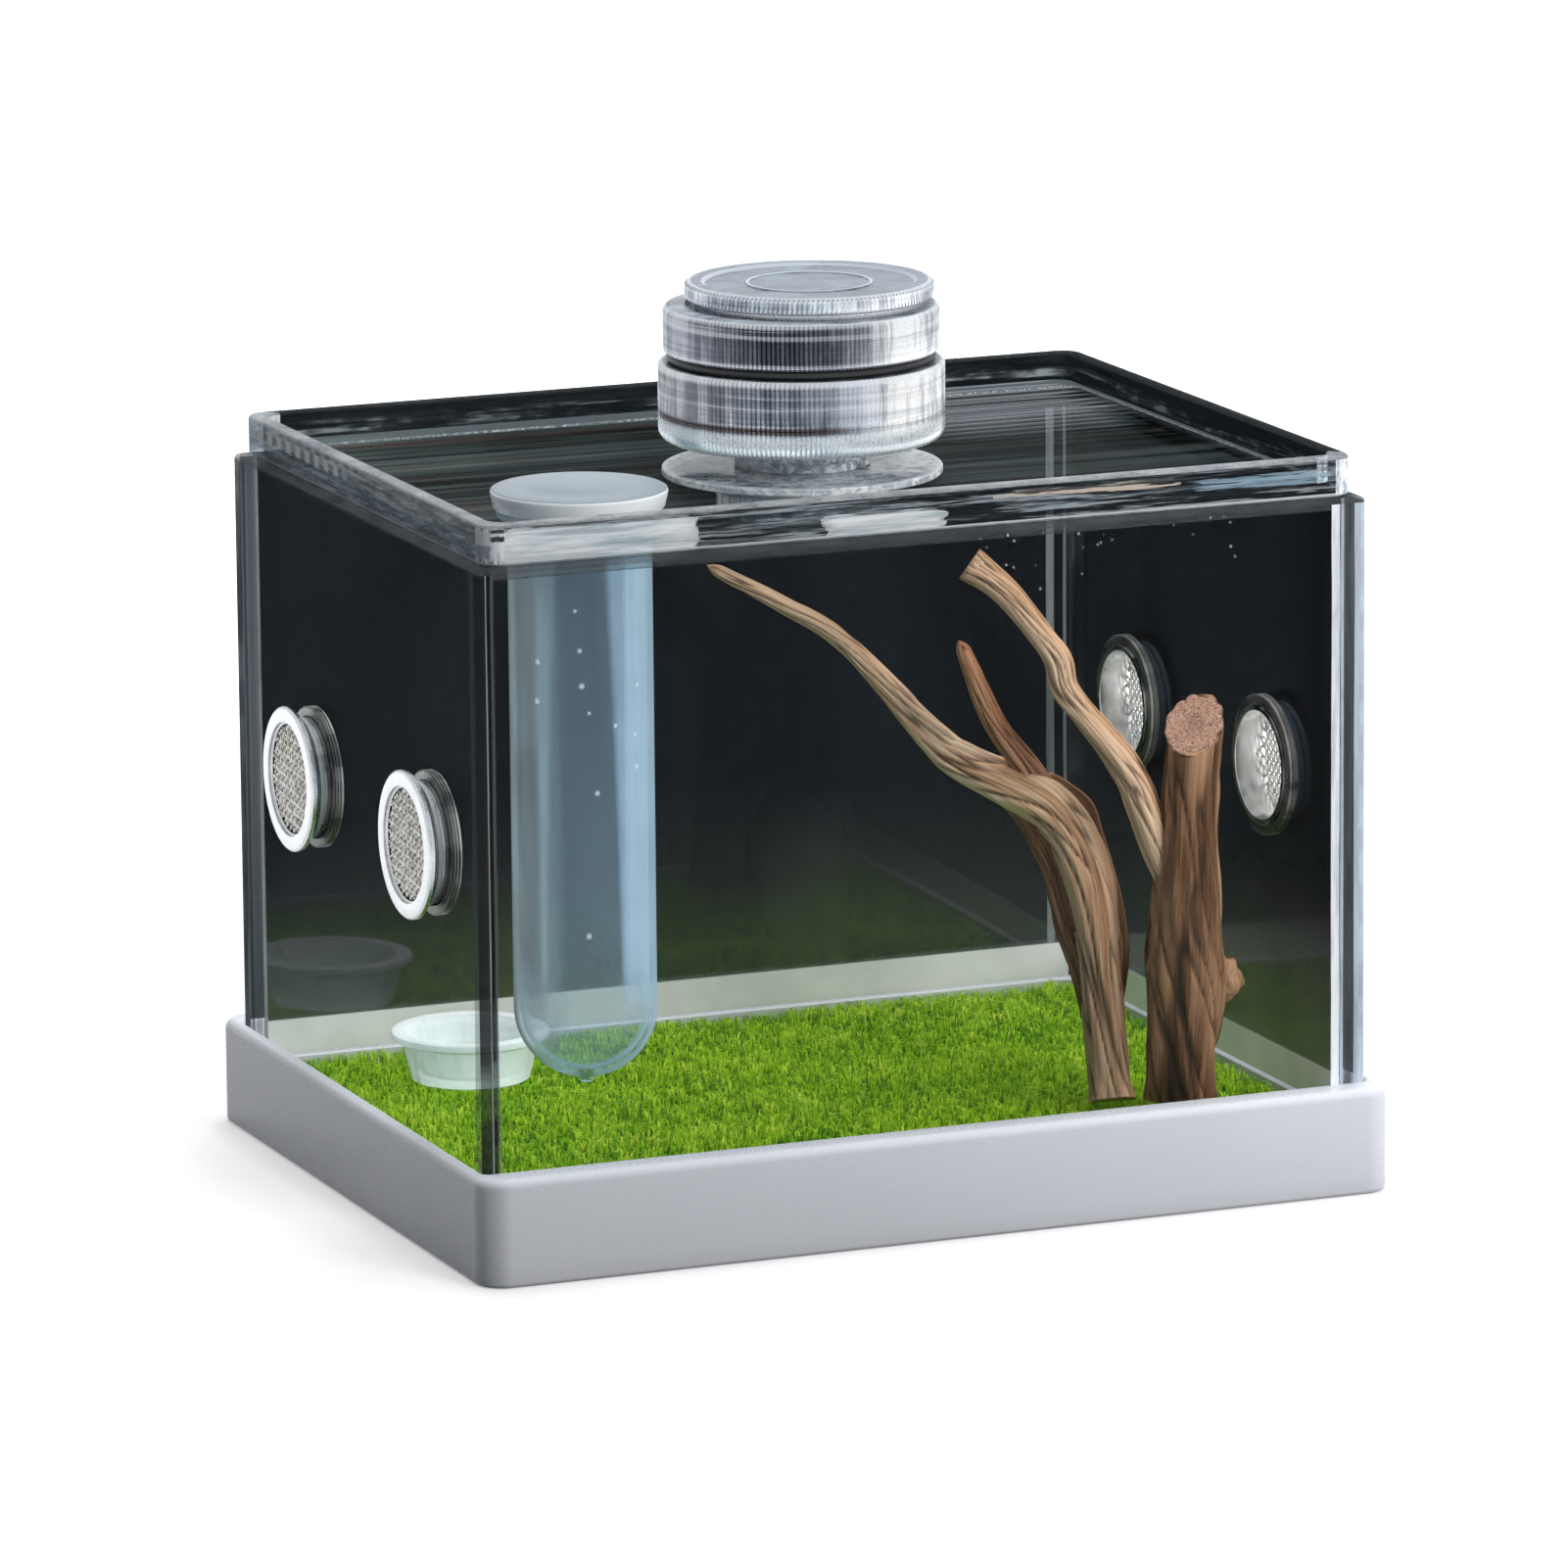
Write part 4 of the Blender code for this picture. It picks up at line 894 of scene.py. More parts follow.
def bark(name, deep, middle, light, blotch=0.28, lift=0.0, foot=0.8):
    """Barkless weathered wood: grain along the limb, with painted shade in its grooves and towards its
    foot.
    """
    shader = Shader(name)
    grain = shader.attribute("grain")[1]
    hollow = shader.attribute("hollow")[2]
    cut = shader.attribute("cut")[2]
    streaks = shader.grain(grain, (1.0, 1.0, 0.016), 0.55, 4.0, 0.65, distortion=0.15)
    threads = shader.grain(grain, (1.0, 1.0, 0.02), 1.8, 3.0, 0.7)
    patches = shader.grain(grain, (1.0, 1.0, 0.12), 0.15, 1.5, 0.5)
    fibre = 1.0 - blotch
    value = shader.plus(shader.times(streaks, 0.62 * fibre),
                        shader.plus(shader.times(threads, 0.38 * fibre),
                                    shader.times(patches, blotch)))
    value = shader.plus(value, lift)
    colour = shader.ramp(value, [(0.33, tuple(c * 0.5 for c in deep)), (0.40, deep), (0.47, middle),
                                 (0.56, light), (0.66, tuple(min(c * 1.15 + 0.08, 1.0) for c in light))])
    # painted shade in the grooves
    colour = shader.mix(shader.span(hollow, 0.2, 0.95, 0.0, 0.75), colour, tuple(c * 0.2 for c in deep))
    z = shader.split(shader.coords())[2]
    # painted shade: darker towards the foot, near the turf
    low = shader.span(z, 26.0, 76.0, foot, 0.0)
    colour = shader.mix(low, colour, shader.mix(1.0, colour, (0.4, 0.36, 0.33), "MULTIPLY"))
    specks = shader.noise(shader.coords(), 2.4, 3.0, 0.7)
    sawn = shader.ramp(specks, [(0.36, (0.12, 0.055, 0.035)), (0.44, (0.38, 0.20, 0.14)),
                                (0.62, (0.66, 0.42, 0.32))])
    colour = shader.mix(cut, colour, sawn)
    bumps = shader.plus(shader.times(streaks, 0.6), shader.times(threads, 0.4))
    return shader.surface(shader.principled(Base_Color=colour, IOR=1.35,
                                            Roughness=shader.span(streaks, 0.3, 0.7, 0.5, 0.75),
                                            Normal=shader.bump(bumps, 0.0007, 1.0)))


def droplet_glass(name):
    shader = Shader(name)
    facing = shader.node("LayerWeight", {0: 0.5}).outputs[1]
    specks = shader.noise(shader.coords(), 4.0, 2.0)
    share = shader.times(shader.span(facing, 0.15, 0.7, 0.05, 0.95),
                         shader.span(specks, 0.2, 0.8, 0.85, 1.0))
    return shader.surface(shader.clear((0.85, 0.9, 0.93), share, (0.9, 0.93, 0.95), 0.25, 0.05))


# Pieces

def make_tray():
    loops = round_levels(TRAY_X, TRAY_Y, TRAY_CORNER, TRAY_FOOT_ROUND, TRAY_FOOT_ROUND, -90, 0, 3)
    loops += round_levels(TRAY_X, TRAY_Y, TRAY_CORNER, TRAY_TOP - TRAY_TOP_ROUND, TRAY_TOP_ROUND, 0, 90, 7)
    inner = round_levels(0, 0, SEAT_CORNER, TRAY_TOP - SEAT_ROUND, SEAT_ROUND, 90, 0, 3)
    loops += [(SEAT_X - inset, SEAT_Y - inset, SEAT_CORNER, z) for inset, _, _, z in inner]
    loops += [(SEAT_X, SEAT_Y, SEAT_CORNER, LEDGE + 0.2),
              (SEAT_X - 0.2, SEAT_Y - 0.2, SEAT_CORNER - 0.2, LEDGE)]
    loops += [(WELL_X + 0.4, WELL_Y + 0.4, WELL_CORNER + 0.2, LEDGE),
              (WELL_X, WELL_Y, WELL_CORNER, LEDGE - 0.4)]
    loops += [(WELL_X, WELL_Y, WELL_CORNER, TRAY_FLOOR)]
    mesh = sweep("tray", loops, lambda region, band: 0, closed=False, caps=(0, 0))
    tray = new_object("tray", mesh, [white_plastic("tray_white", (0.70, 0.72, 0.775), 0.27)])
    return dress(tray, "base", "white_plastic", "base_tray")


def make_body():
    # painted highlights and painted dark lines for the walls' glued ends
    pale_end = (0.55, 0.64, 0.74)
    grey_end = (0.22, 0.25, 0.27)
    black = (0.004, 0.004, 0.005)
    outer = {
        "front": clear_wall("front_wall_outer", 0, [
            (-86.2, -85.3, (0.5, 0.55, 0.58), 0.8), (-84.6, -84.0, black, 0.5),
            (79.9, 81.7, (0.92, 0.95, 1.0), 0.96), (82.6, 84.1, black, 0.85),
            (84.5, 85.9, pale_end, 0.9), (86.2, 87.3, (0.75, 0.82, 0.88), 0.9)]),
        "left": clear_wall("left_wall_outer", 1, [
            (-66.0, -64.2, black, 0.95), (-64.0, -61.6, (0.10, 0.10, 0.12), 0.5),
            (54.5, 57.5, grey_end, 0.4), (58.6, 60.4, black, 0.7), (61.0, 64.6, (0.07, 0.09, 0.12), 0.92),
            (64.9, 66.0, (0.45, 0.48, 0.52), 0.9)]),
        # painted dark tint on the back and right walls
        "back": painted_dark_wall("back_wall_outer", 0, [], 0.004, 0.004),
        "right": painted_dark_wall("right_wall_outer", 1, [], 0.01, 0.01),
    }
    inner = {
        "front": clear_wall("front_wall_inner", 0, []),
        "left": clear_wall("left_wall_inner", 1, []),
        # painted highlights: two grey lines near the back right corner
        "back": painted_dark_wall("back_wall_inner", 0, [
            (78.6, 80.4, (0.36, 0.38, 0.42), 0.9),
            (82.2, 83.0, (0.3, 0.32, 0.35), 0.85)], 0.0015, 0.09, 0.9),
        "right": painted_dark_wall("right_wall_inner", 1, [], 0.010, 0.09, 0.95, (0.19, 0.20, 0.20)),
    }
    # painted colours of the corners: shade at the dark ones, a highlight at the pale one
    ends = {
        "front_left": (0.01, 0.01, 0.012), "front_right": pale_end,
        "back_left": (0.35, 0.38, 0.42), "back_right": black,
    }
    materials, names = [], []
    for label, made in (("outer", outer), ("inner", inner)):
        for region, material in made.items():
            names.append((region, label))
            materials.append(material)
    for region, colour in ends.items():
        for label in ("outer", "inner"):
            names.append((region, label))
            materials.append(corner_end(f"{region}_end_{label}", colour))
    # painted dark lines along the top edges, darkest over the painted dark walls
    names += [("light", "edge"), ("dark", "edge")]
    materials += [painted_edge_light("body_top_edge", 0.10, 0.5, 0.01),
                  painted_edge_light("body_dark_edge", 0.03, 0.8, 0.004)]
    loops = [(INSIDE_X, INSIDE_Y, INSIDE_CORNER, BODY_LOW),
             (INSIDE_X, INSIDE_Y, INSIDE_CORNER, BODY_HIGH - 0.4),
             (INSIDE_X + 0.4, INSIDE_Y + 0.4, INSIDE_CORNER + 0.2, BODY_HIGH)]
    loops += round_levels(BODY_X, BODY_Y, BODY_CORNER, BODY_HIGH - BODY_ROUND, BODY_ROUND, 90, 0, 4)
    loops += [(BODY_X, BODY_Y, BODY_CORNER, BODY_LOW)]
    last = len(loops) - 1

    def pick(region, band):
        if band == 0:
            return names.index((region, "inner"))
        if band == last - 1:
            return names.index((region, "outer"))
        return names.index(("dark" if region in ("back", "right", "back_right") else "light", "edge"))

    body = new_object("body_shell", sweep("body_shell", loops, pick), materials)
    # painted light on the vent holes' walls
    bore = painted_edge_light("vent_hole_edge", 0.3, 0.4)
    cutters = [round_cutter(VENT_BORE, -100, 100, (0, y, VENT_Z), True, bore) for y in VENT_YS.values()]
    boolean_cut(body, cutters)
    return dress(body, "enclosure", "clear_plastic", "clear_body")


def make_lid():
    # painted light and shade: glints, highlights and dark tints on the skirts and corners, painted
    # highlights and dark lines on the edges
    materials = [plate_glass("lid_plate"), front_rim_glass("lid_front"), glinting_rim("lid_left"),
                 painted_dark_rim("lid_back_and_right"), corner_glints("lid_left_corner", True),
                 painted_edge_light("lid_edge", 0.52, 0.75), painted_edge_light("lid_faint_edge", 0.02, 0.92, 0.004),
                 painted_edge_light("lid_lip_edge", 0.12, 0.4, 0.01), painted_edge_light("lid_low_edge", 0.85, 0.9),
                 corner_glints("lid_right_corner", False)]
    x, y, corner = RIM_INSIDE
    loops = [(*RIM_INSIDE, PLATE_TOP), (*RIM_INSIDE, LID_HIGH - 0.4),
             (x + 0.3, y + 0.3, corner + 0.2, LID_HIGH)]
    loops += round_levels(LID_X, LID_Y, LID_CORNER, LID_HIGH - LID_ROUND, LID_ROUND, 90, 0, 3)
    loops += [(LID_X, LID_Y, LID_CORNER, LID_LOW + 0.35),
              (LID_X - 0.35, LID_Y - 0.35, LID_CORNER - 0.2, LID_LOW)]
    x, y, corner = LIP_OUTSIDE
    loops += [(*LIP_OUTSIDE, LID_LOW), (*LIP_OUTSIDE, LIP_LOW + LIP_ROUND),
              (x - LIP_ROUND, y - LIP_ROUND, corner - 0.1, LIP_LOW)]
    x, y, corner = LIP_INSIDE
    loops += [(x + LIP_ROUND, y + LIP_ROUND, corner - 0.1, LIP_LOW), (*LIP_INSIDE, LIP_LOW + LIP_ROUND),
              (*LIP_INSIDE, LID_LOW)]
    side = {"front": 1, "left": 2, "back": 3, "right": 3, "front_left": 4, "back_left": 4,
            "front_right": 9, "back_right": 3}

    def pick(region, band):
        dark = region in ("back", "right", "back_right")
        if band in (0, 6):
            return side[region]
        if band == 8 or band > 11:
            return 3 if dark else 0
        if dark:
            return 6
        return 5 if band < 6 else 8 if band == 7 else 7

    lid = new_object("lid_shell", sweep("lid_shell", loops, pick, closed=False, caps=(0, 0)), materials)
    # painted light on the holes' walls
    hole = painted_edge_light("lid_hole_edge", 0.5, 0.5)
    boolean_cut(lid, [round_cutter(PORT_HOLE, 120, 137, (*PORT_AXIS, 0), False, hole),
                      round_cutter(TUBE_HOLE, 120, 137, (*TUBE_AXIS, 0), False, hole)])
    return dress(lid, "lid", "clear_plastic", "lid")


def ridges(count, depth, least):
    """A ripple of fine ridges on what lies further out than least."""
    def ripple(radius, height, angle):
        if radius < least:
            return radius
        return radius - depth * (0.5 - 0.5 * math.cos(count * angle))
    return ripple


# Colours round the port's axis: painted reflections, dark where the plastic faces the camera and a painted
# highlight to its right
CAP_STOPS = [(0.0, (0.72, 0.74, 0.78)), (0.2, (0.6, 0.62, 0.66)), (0.36, (0.6, 0.61, 0.66)),
             (0.44, (0.74, 0.76, 0.82)), (0.5, (0.56, 0.59, 0.66)), (0.56, (0.34, 0.36, 0.42)),
             (0.63, (0.12, 0.13, 0.16)), (0.72, (0.12, 0.13, 0.16)), (0.765, (0.3, 0.32, 0.36)),
             (0.79, (0.9, 0.92, 0.94)), (0.94, (0.95, 0.97, 1.0)), (1.0, (0.72, 0.74, 0.78))]
CUP_STOPS = [(0.0, (0.82, 0.86, 0.9)), (0.2, (0.7, 0.72, 0.76)), (0.36, (0.84, 0.84, 0.88)),
             (0.44, (0.84, 0.83, 0.87)), (0.52, (0.56, 0.56, 0.6)), (0.62, (0.29, 0.32, 0.37)),
             (0.7, (0.32, 0.36, 0.42)), (0.76, (0.72, 0.76, 0.84)), (0.8, (1.0, 1.0, 1.0)),
             (0.94, (0.97, 0.99, 1.0)), (1.0, (0.82, 0.86, 0.9))]
DISC_STOPS = [(0.0, (0.7, 0.72, 0.76)), (0.36, (0.6, 0.63, 0.68)), (0.5, (0.56, 0.62, 0.68)),
              (0.6, (0.44, 0.5, 0.56)), (0.7, (0.5, 0.56, 0.62)), (0.78, (0.78, 0.8, 0.83)),
              (1.0, (0.7, 0.72, 0.76))]


def top_faces(mesh):
    """Gives the upward faces the second material."""
    for face in mesh.polygons:
        if face.normal.z > STEEP:
            face.material_index = 1


def make_port():
    profile = [(STEM_BORE, STEM_LOW), (STEM_RADIUS - 0.1, STEM_LOW), (STEM_RADIUS, STEM_LOW + 0.1),
               (STEM_RADIUS, 134.5), (NECK_RADIUS - 0.1, 134.5), (NECK_RADIUS, 134.6),
               (NECK_RADIUS, 138.4), (NECK_RADIUS + 0.8, CUP_LOW), (23.4, CUP_LOW)]
    profile += arc(CUP_RADIUS - 2.4, CUP_LOW + 2.4, 2.4, -90, 0, 6)
    profile += [(CUP_RADIUS, CUP_SEAM - 0.15), (CUP_RADIUS - 0.15, CUP_SEAM), (CUP_RADIUS, CUP_SEAM + 0.15),
                (CUP_RADIUS, CUP_HIGH - 0.1), (CUP_RADIUS - 0.4, CUP_HIGH + 0.4),
                (THREAD_RADIUS, CUP_HIGH + 0.4)]
    for i in range(3):
        low = THREAD_LOW + THREAD_PITCH * i
        profile += [(THREAD_RADIUS, low), (THREAD_RADIUS + 0.35, low + 0.4), (THREAD_RADIUS, low + 0.8)]
    profile += [(THREAD_RADIUS, 160.0), (THREAD_RADIUS - 0.4, 160.4), (CUP_WALL + 0.3, 160.4),
                (CUP_WALL, 160.1),
                (CUP_WALL, CUP_FLOOR), (STEM_BORE, CUP_FLOOR)]
    cup_mesh = lathe("port_cup_ridged", profile, RIDGES * 4, ripple=ridges(RIDGES, 0.34, 23.5),
                     centre=PORT_AXIS)
    cup_material = ridged_plastic("cup_plastic", PORT_AXIS, CUP_STOPS, CUP_LOW, CUP_HIGH, seam=CUP_SEAM)
    cup_top = clouded_top("cup_top_plastic", (0.10, 0.12, 0.14), (0.4, 0.44, 0.5), PORT_AXIS, [(26.0, 0.6)])
    cup = new_object("port_cup_ridged", cup_mesh,
                     [cup_material, swirled_glass("stem_plastic", 0.2, 1.0, 0.9, 0.22), cup_top])
    for face in cup_mesh.polygons:
        if face.center.z < (CUP_LOW + 0.2) * MM:
            face.material_index = 1
        elif face.normal.z > STEEP:
            face.material_index = 2
    dress(cup, "lid", "clear_plastic", "port_cup")

    outline = [(PORT_HOLE, 134.2), (26.0, 134.2), (26.0, 132.7), (PORT_HOLE, 132.7)]
    flange = lathe("port_flange_clear", softened(outline, 0.5), 128, centre=PORT_AXIS)
    swirls = swirled_glass("flange_plastic", 0.16, 1.0, 0.7, 0.14, PORT_AXIS, [(25.2, 1.0), (19.0, 0.7)])
    dress(new_object("port_flange_clear", flange, [swirls]), "lid", "clear_plastic", "port_flange")
    outline = [(PORT_HOLE, 129.9), (16.0, 129.9), (16.0, 125.5), (PORT_HOLE, 125.5)]
    nut = lathe("port_nut_clear", softened(outline, 0.4), 240, ripple=ridges(30, 0.7, 14.0),
                centre=PORT_AXIS)
    dress(new_object("port_nut_clear", nut, [swirled_glass("nut_plastic", 0.1, 0.6, 0.45, 0.2)]),
          "lid", "clear_plastic", "port_nut")
    seal = lathe("port_seal_ring", arc(*SEAL_RING, 0, 345, 23), 128, centre=PORT_AXIS, sharp=80)
    dress(new_object("port_seal_ring", seal, [rubber("seal_rubber")]), "port_seal", "black_rubber",
          "port_seal")

    cap_profile = [(0.0, 162.5), (CAP_BORE, 162.5), (CAP_BORE, CAP_LOW), (CAP_RADIUS - 0.4, CAP_LOW),
                   (CAP_RADIUS, CAP_LOW + 0.4), (CAP_RADIUS, 163.3), (CAP_RADIUS - 0.4, 164.1),
                   (24.2, CAP_HIGH), (21.4, CAP_HIGH), (21.4, 163.3), (0.0, 163.3)]
    cap_mesh = lathe("port_cap_ridged", cap_profile, RIDGES * 4, closed=False,
                     ripple=ridges(RIDGES, 0.36, 24.3), centre=PORT_AXIS)
    cap = new_object("port_cap_ridged", cap_mesh,
                     [ridged_plastic("cap_plastic", PORT_AXIS, CAP_STOPS, CAP_LOW, CAP_HIGH),
                      clouded_top("cap_top_plastic", (0.10, 0.12, 0.15), (0.45, 0.5, 0.56), PORT_AXIS,
                                  [(25.0, 0.5)])])
    top_faces(cap_mesh)
    dress(cap, "port_cap", "clear_plastic", "port_cap")
    disc_profile = [(0.0, 163.62), (21.0, 163.62), (21.1, 163.7), (21.1, DISC_LOW), (22.6, DISC_LOW),
                    (DISC_RADIUS, DISC_LOW + 0.4), (DISC_RADIUS, DISC_HIGH - 0.5),
                    (DISC_RADIUS - 0.6, DISC_HIGH), (20.0, DISC_HIGH), (19.3, 168.0),
                    (12.0, 168.0), (11.7, 168.25), (11.2, 168.25), (10.9, 168.0), (0.0, 168.0)]
    disc_mesh = lathe("port_cap_disc_ridged", disc_profile, DISC_RIDGES * 4, closed=False,
                      ripple=ridges(DISC_RIDGES, 0.26, 22.7), centre=DISC_AXIS)
    disc = new_object("port_cap_disc_ridged", disc_mesh,
                      [ridged_plastic("disc_plastic", DISC_AXIS, DISC_STOPS, DISC_LOW, DISC_HIGH),
                       clouded_top("disc_top_plastic", (0.09, 0.115, 0.15), (0.27, 0.32, 0.38), DISC_AXIS,
                                   [(22.3, 0.6), (19.6, 0.5), (11.4, 0.4)])])
    top_faces(disc_mesh)
    dress(disc, "port_cap", "clear_plastic", "port_cap_disc")


def make_tube():
    outer, inner, rim, tip = TUBE_RADIUS, TUBE_BORE, 15.0, TUBE_TIP
    ball = tip + outer
    profile = arc(0.0, ball, inner, -90, 0, 20)
    profile[0] = (0.0, ball - inner)
    profile += [(inner, 133.7), (inner + 0.3, 134.0), (rim - 0.3, 134.0), (rim, 133.7), (rim, 133.0),
                (rim - 0.3, 132.7), (outer, 132.7)]
    outside = [p for p in arc(0.0, ball, outer, 0, -90, 20) if p[0] > 1.5]
    profile += outside + [(1.35, tip - 0.1), (1.35, tip - 0.8), (1.0, tip - 1.1), (0.0, tip - 1.1)]
    mesh = lathe("feeding_tube_clear", profile, 128, closed=False, centre=TUBE_AXIS, sharp=50)
    material = frosted("tube_frosted", (0.52, 0.71, 0.87), 0.075, 0.62, 0.19, 0.26, ball=52.0)
    dress(new_object("feeding_tube_clear", mesh, [material]), "tube", "frosted_plastic", "feeding_tube")

    low, high = 134.3, 137.9
    cap = [(0.0, 136.3), (9.85, 136.3), (9.85, 128.5), (10.05, 128.3), (11.2, 128.3), (11.45, 128.6),
           (11.45, low), (15.4, low), (15.6, low + 0.3), (16.15, high - 0.7), (16.0, high - 0.2),
           (15.6, high), (11.6, high), (9.8, high + 0.12), (8.4, high + 0.5), (6.6, high + 0.9),
           (4.2, high + 1.06), (0.0, high + 1.1)]
    mesh = lathe("tube_cap_white", cap, 128, closed=False, centre=TUBE_AXIS, sharp=50)
    # painted shade: the cap's upward faces take a dark copy of its white plastic
    cap_white = [white_plastic("cap_side_white", (0.90, 0.94, 0.97), 0.3, False),
                 white_plastic("cap_top_painted_shade", (0.27, 0.32, 0.36), 0.45, False)]
    piece = new_object("tube_cap_white", mesh, cap_white)
    top_faces(mesh)
    dress(piece, "tube_cap", "white_plastic", "tube_cap")


def make_droplets():
    """Drops on the tube's wall and specks under the lid's edge."""
    chance = random.Random(11)
    bm = bmesh.new()
    spots = [(0.0, 110.3, 0.42), (0.02, 103.8, 0.5), (-0.62, 107.9, 0.5), (-0.64, 100.6, 0.55),
             (-0.06, 117.6, 0.34), (0.5, 96.2, 0.4), (0.22, 84.0, 0.45), (0.08, 57.6, 0.5),
             (0.12, 98.8, 0.3), (0.86, 88.0, 0.4), (0.9, 103.0, 0.4), (0.84, 94.0, 0.35)]
    facing = math.radians(248)
    for turn, z, size in spots:
        angle = facing + turn
        normal = Vector((math.cos(angle), math.sin(angle), 0))
        centre = Vector((*TUBE_AXIS, z)) + normal * TUBE_RADIUS
        matrix = Matrix.Translation(centre) @ normal.to_track_quat("Z", "Y").to_matrix().to_4x4()
        bmesh.ops.create_uvsphere(bm, u_segments=16, v_segments=10, radius=size,
                                  matrix=matrix @ Matrix.Diagonal((1, 1.2, 0.45, 1)))
    mesh = finish_mesh("tube_drops", bm, sharp=80)
    dress(new_object("tube_drops", mesh, [droplet_glass("drop_clear")]), "tube", "frosted_plastic")

    bm = bmesh.new()
    for _ in range(30):
        x = chance.uniform(6, 62)
        z = 128.0 - abs(chance.gauss(0, 4.0))
        size = chance.uniform(0.08, 0.24)
        matrix = Matrix.Translation((x, -INSIDE_Y + 0.02, z)) @ Matrix.Rotation(math.pi / 2, 4, "X")
        bmesh.ops.create_uvsphere(bm, u_segments=10, v_segments=6, radius=size,
                                  matrix=matrix @ Matrix.Diagonal((1, 1.1, 0.5, 1)))
    mesh = finish_mesh("wall_drops", bm, sharp=80)
    dress(new_object("wall_drops", mesh, [bpy.data.materials["drop_clear"]]), "enclosure", "clear_plastic")


def make_dish():
    rim, foot = 15.0, 11.5
    high = FOOT + 9.5
    floor = FOOT + 1.3
    inside = [(0.0, floor), (foot - 2.8, floor), (foot - 1.9, floor + 0.4), (foot - 1.3, floor + 1.3),
              (foot - 0.2, high - 2.4), (foot, high - 1.0), (foot + 0.6, high - 0.15), (rim - 2.2, high)]
    outside = [(rim - 0.8, high), (rim - 0.2, high - 0.2), (rim, high - 0.7), (rim - 0.1, high - 1.3),
               (foot + 1.6, high - 1.9), (foot + 1.2, high - 2.4), (foot + 0.1, floor + 0.6),
               (foot - 0.3, FOOT + 0.3), (foot - 0.8, FOOT), (0.0, FOOT)]
    mesh = lathe("water_dish_milky", inside + outside, 96, closed=False, centre=DISH_AXIS)
    material = frosted("dish_frosted", (0.86, 0.92, 0.92), 0.55, 0.9, 0.2, 0.9)
    dress(new_object("water_dish_milky", mesh, [material]), "dish", "frosted_plastic", "water_dish")


def woven_disc(name, radius, pitch, wire):
    """Two crossing sets of wires that pass over and under each other."""
    sides = 5
    points, faces = [], []
    rows = int(radius / pitch)
    lift = wire * 0.5
    for way in (0, 1):
        for row in range(-rows, rows + 1):
            offset = row * pitch
            half = math.sqrt(max(radius ** 2 - offset ** 2, 0.0))
            steps = int(half / (pitch / 2))
            if steps < 1:
                continue
            first = len(points)
            for k in range(-steps, steps + 1):
                along = k * pitch / 2
                rise = lift * math.cos(math.pi * k / 2 + math.pi * (row + way)) if k % 2 == 0 else 0.0
                for s in range(sides):
                    angle = math.tau * s / sides
                    across = offset + wire / 2 * math.cos(angle)
                    height = rise + wire / 2 * math.sin(angle)
                    points.append((along, across, height) if way == 0 else (across, along, height))
            for k in range(2 * steps):
                for s in range(sides):
                    a = first + k * sides + s
                    b = first + k * sides + (s + 1) % sides
                    faces.append((a, b, b + sides, a + sides))
    mesh = bpy.data.meshes.new(name)
    mesh.from_pydata([(x * MM, y * MM, z * MM) for x, y, z in points], [], faces)
    mesh.shade_smooth()
    return mesh


def make_vents():
    steel = bright_steel("vent_steel")
    spool = spool_steel("vent_spool_steel")
    cups = {end: bright_cup(f"vent_cup_{end}_steel", y) for end, y in VENT_YS.items()}
    wire = woven_steel("vent_wire")
    weave = woven_disc("vent_weave", MESH_RADIUS, MESH_PITCH, MESH_WIRE)
    turn = Matrix.Rotation(math.radians(40), 4, "Z")
    shell = softened([(10.7, 1.55), (13.3, 1.55), (13.7, 1.2), (13.7, 0.35), (11.3, 0.35), (11.3, -5.6),
                      (10.3, -5.6), (10.3, 0.85), (10.7, 0.9)], 0.15)
    ring = []
    for i in range(3):
        low = -3.35 - 0.6 * i
        ring += [(13.0, low), (13.3, low - 0.15), (13.3, low - 0.4), (13.0, low - 0.55)]
    ring = [(11.6, -3.3), (13.0, -3.3)] + ring + [(13.0, -5.1), (11.6, -5.1)]
    for side_name, side in (("left", -1), ("right", 1)):
        for end, y in VENT_YS.items():
            label = f"vent_{side_name}_{end}"
            place = Matrix.Translation((side * BODY_X * MM, y * MM, VENT_Z * MM))
            place = place @ Matrix.Rotation(side * math.pi / 2, 4, "Y")
            for part, profile in (("flange", shell), ("ring", ring)):
                mesh = lathe(f"{label}_{part}_turned", profile, 72, sharp=40)
                mesh.transform(place)
                piece = new_object(f"{label}_{part}_turned", mesh, [steel, spool, cups[end]])
                for face in mesh.polygons:
                    if abs(face.center.x) < (BODY_X - 0.1) * MM:
                        face.material_index = 1 if side < 0 or part == "ring" else 2
                dress(piece, "enclosure", "bright_steel", f"{label}_{part}")
            mesh = weave.copy()
            mesh.transform(place @ Matrix.Translation((0, 0, 0.45 * MM)) @ turn)
            piece = new_object(f"{label}_weave", mesh, [wire])
            dress(piece, "enclosure", "woven_steel", f"{label}_mesh")


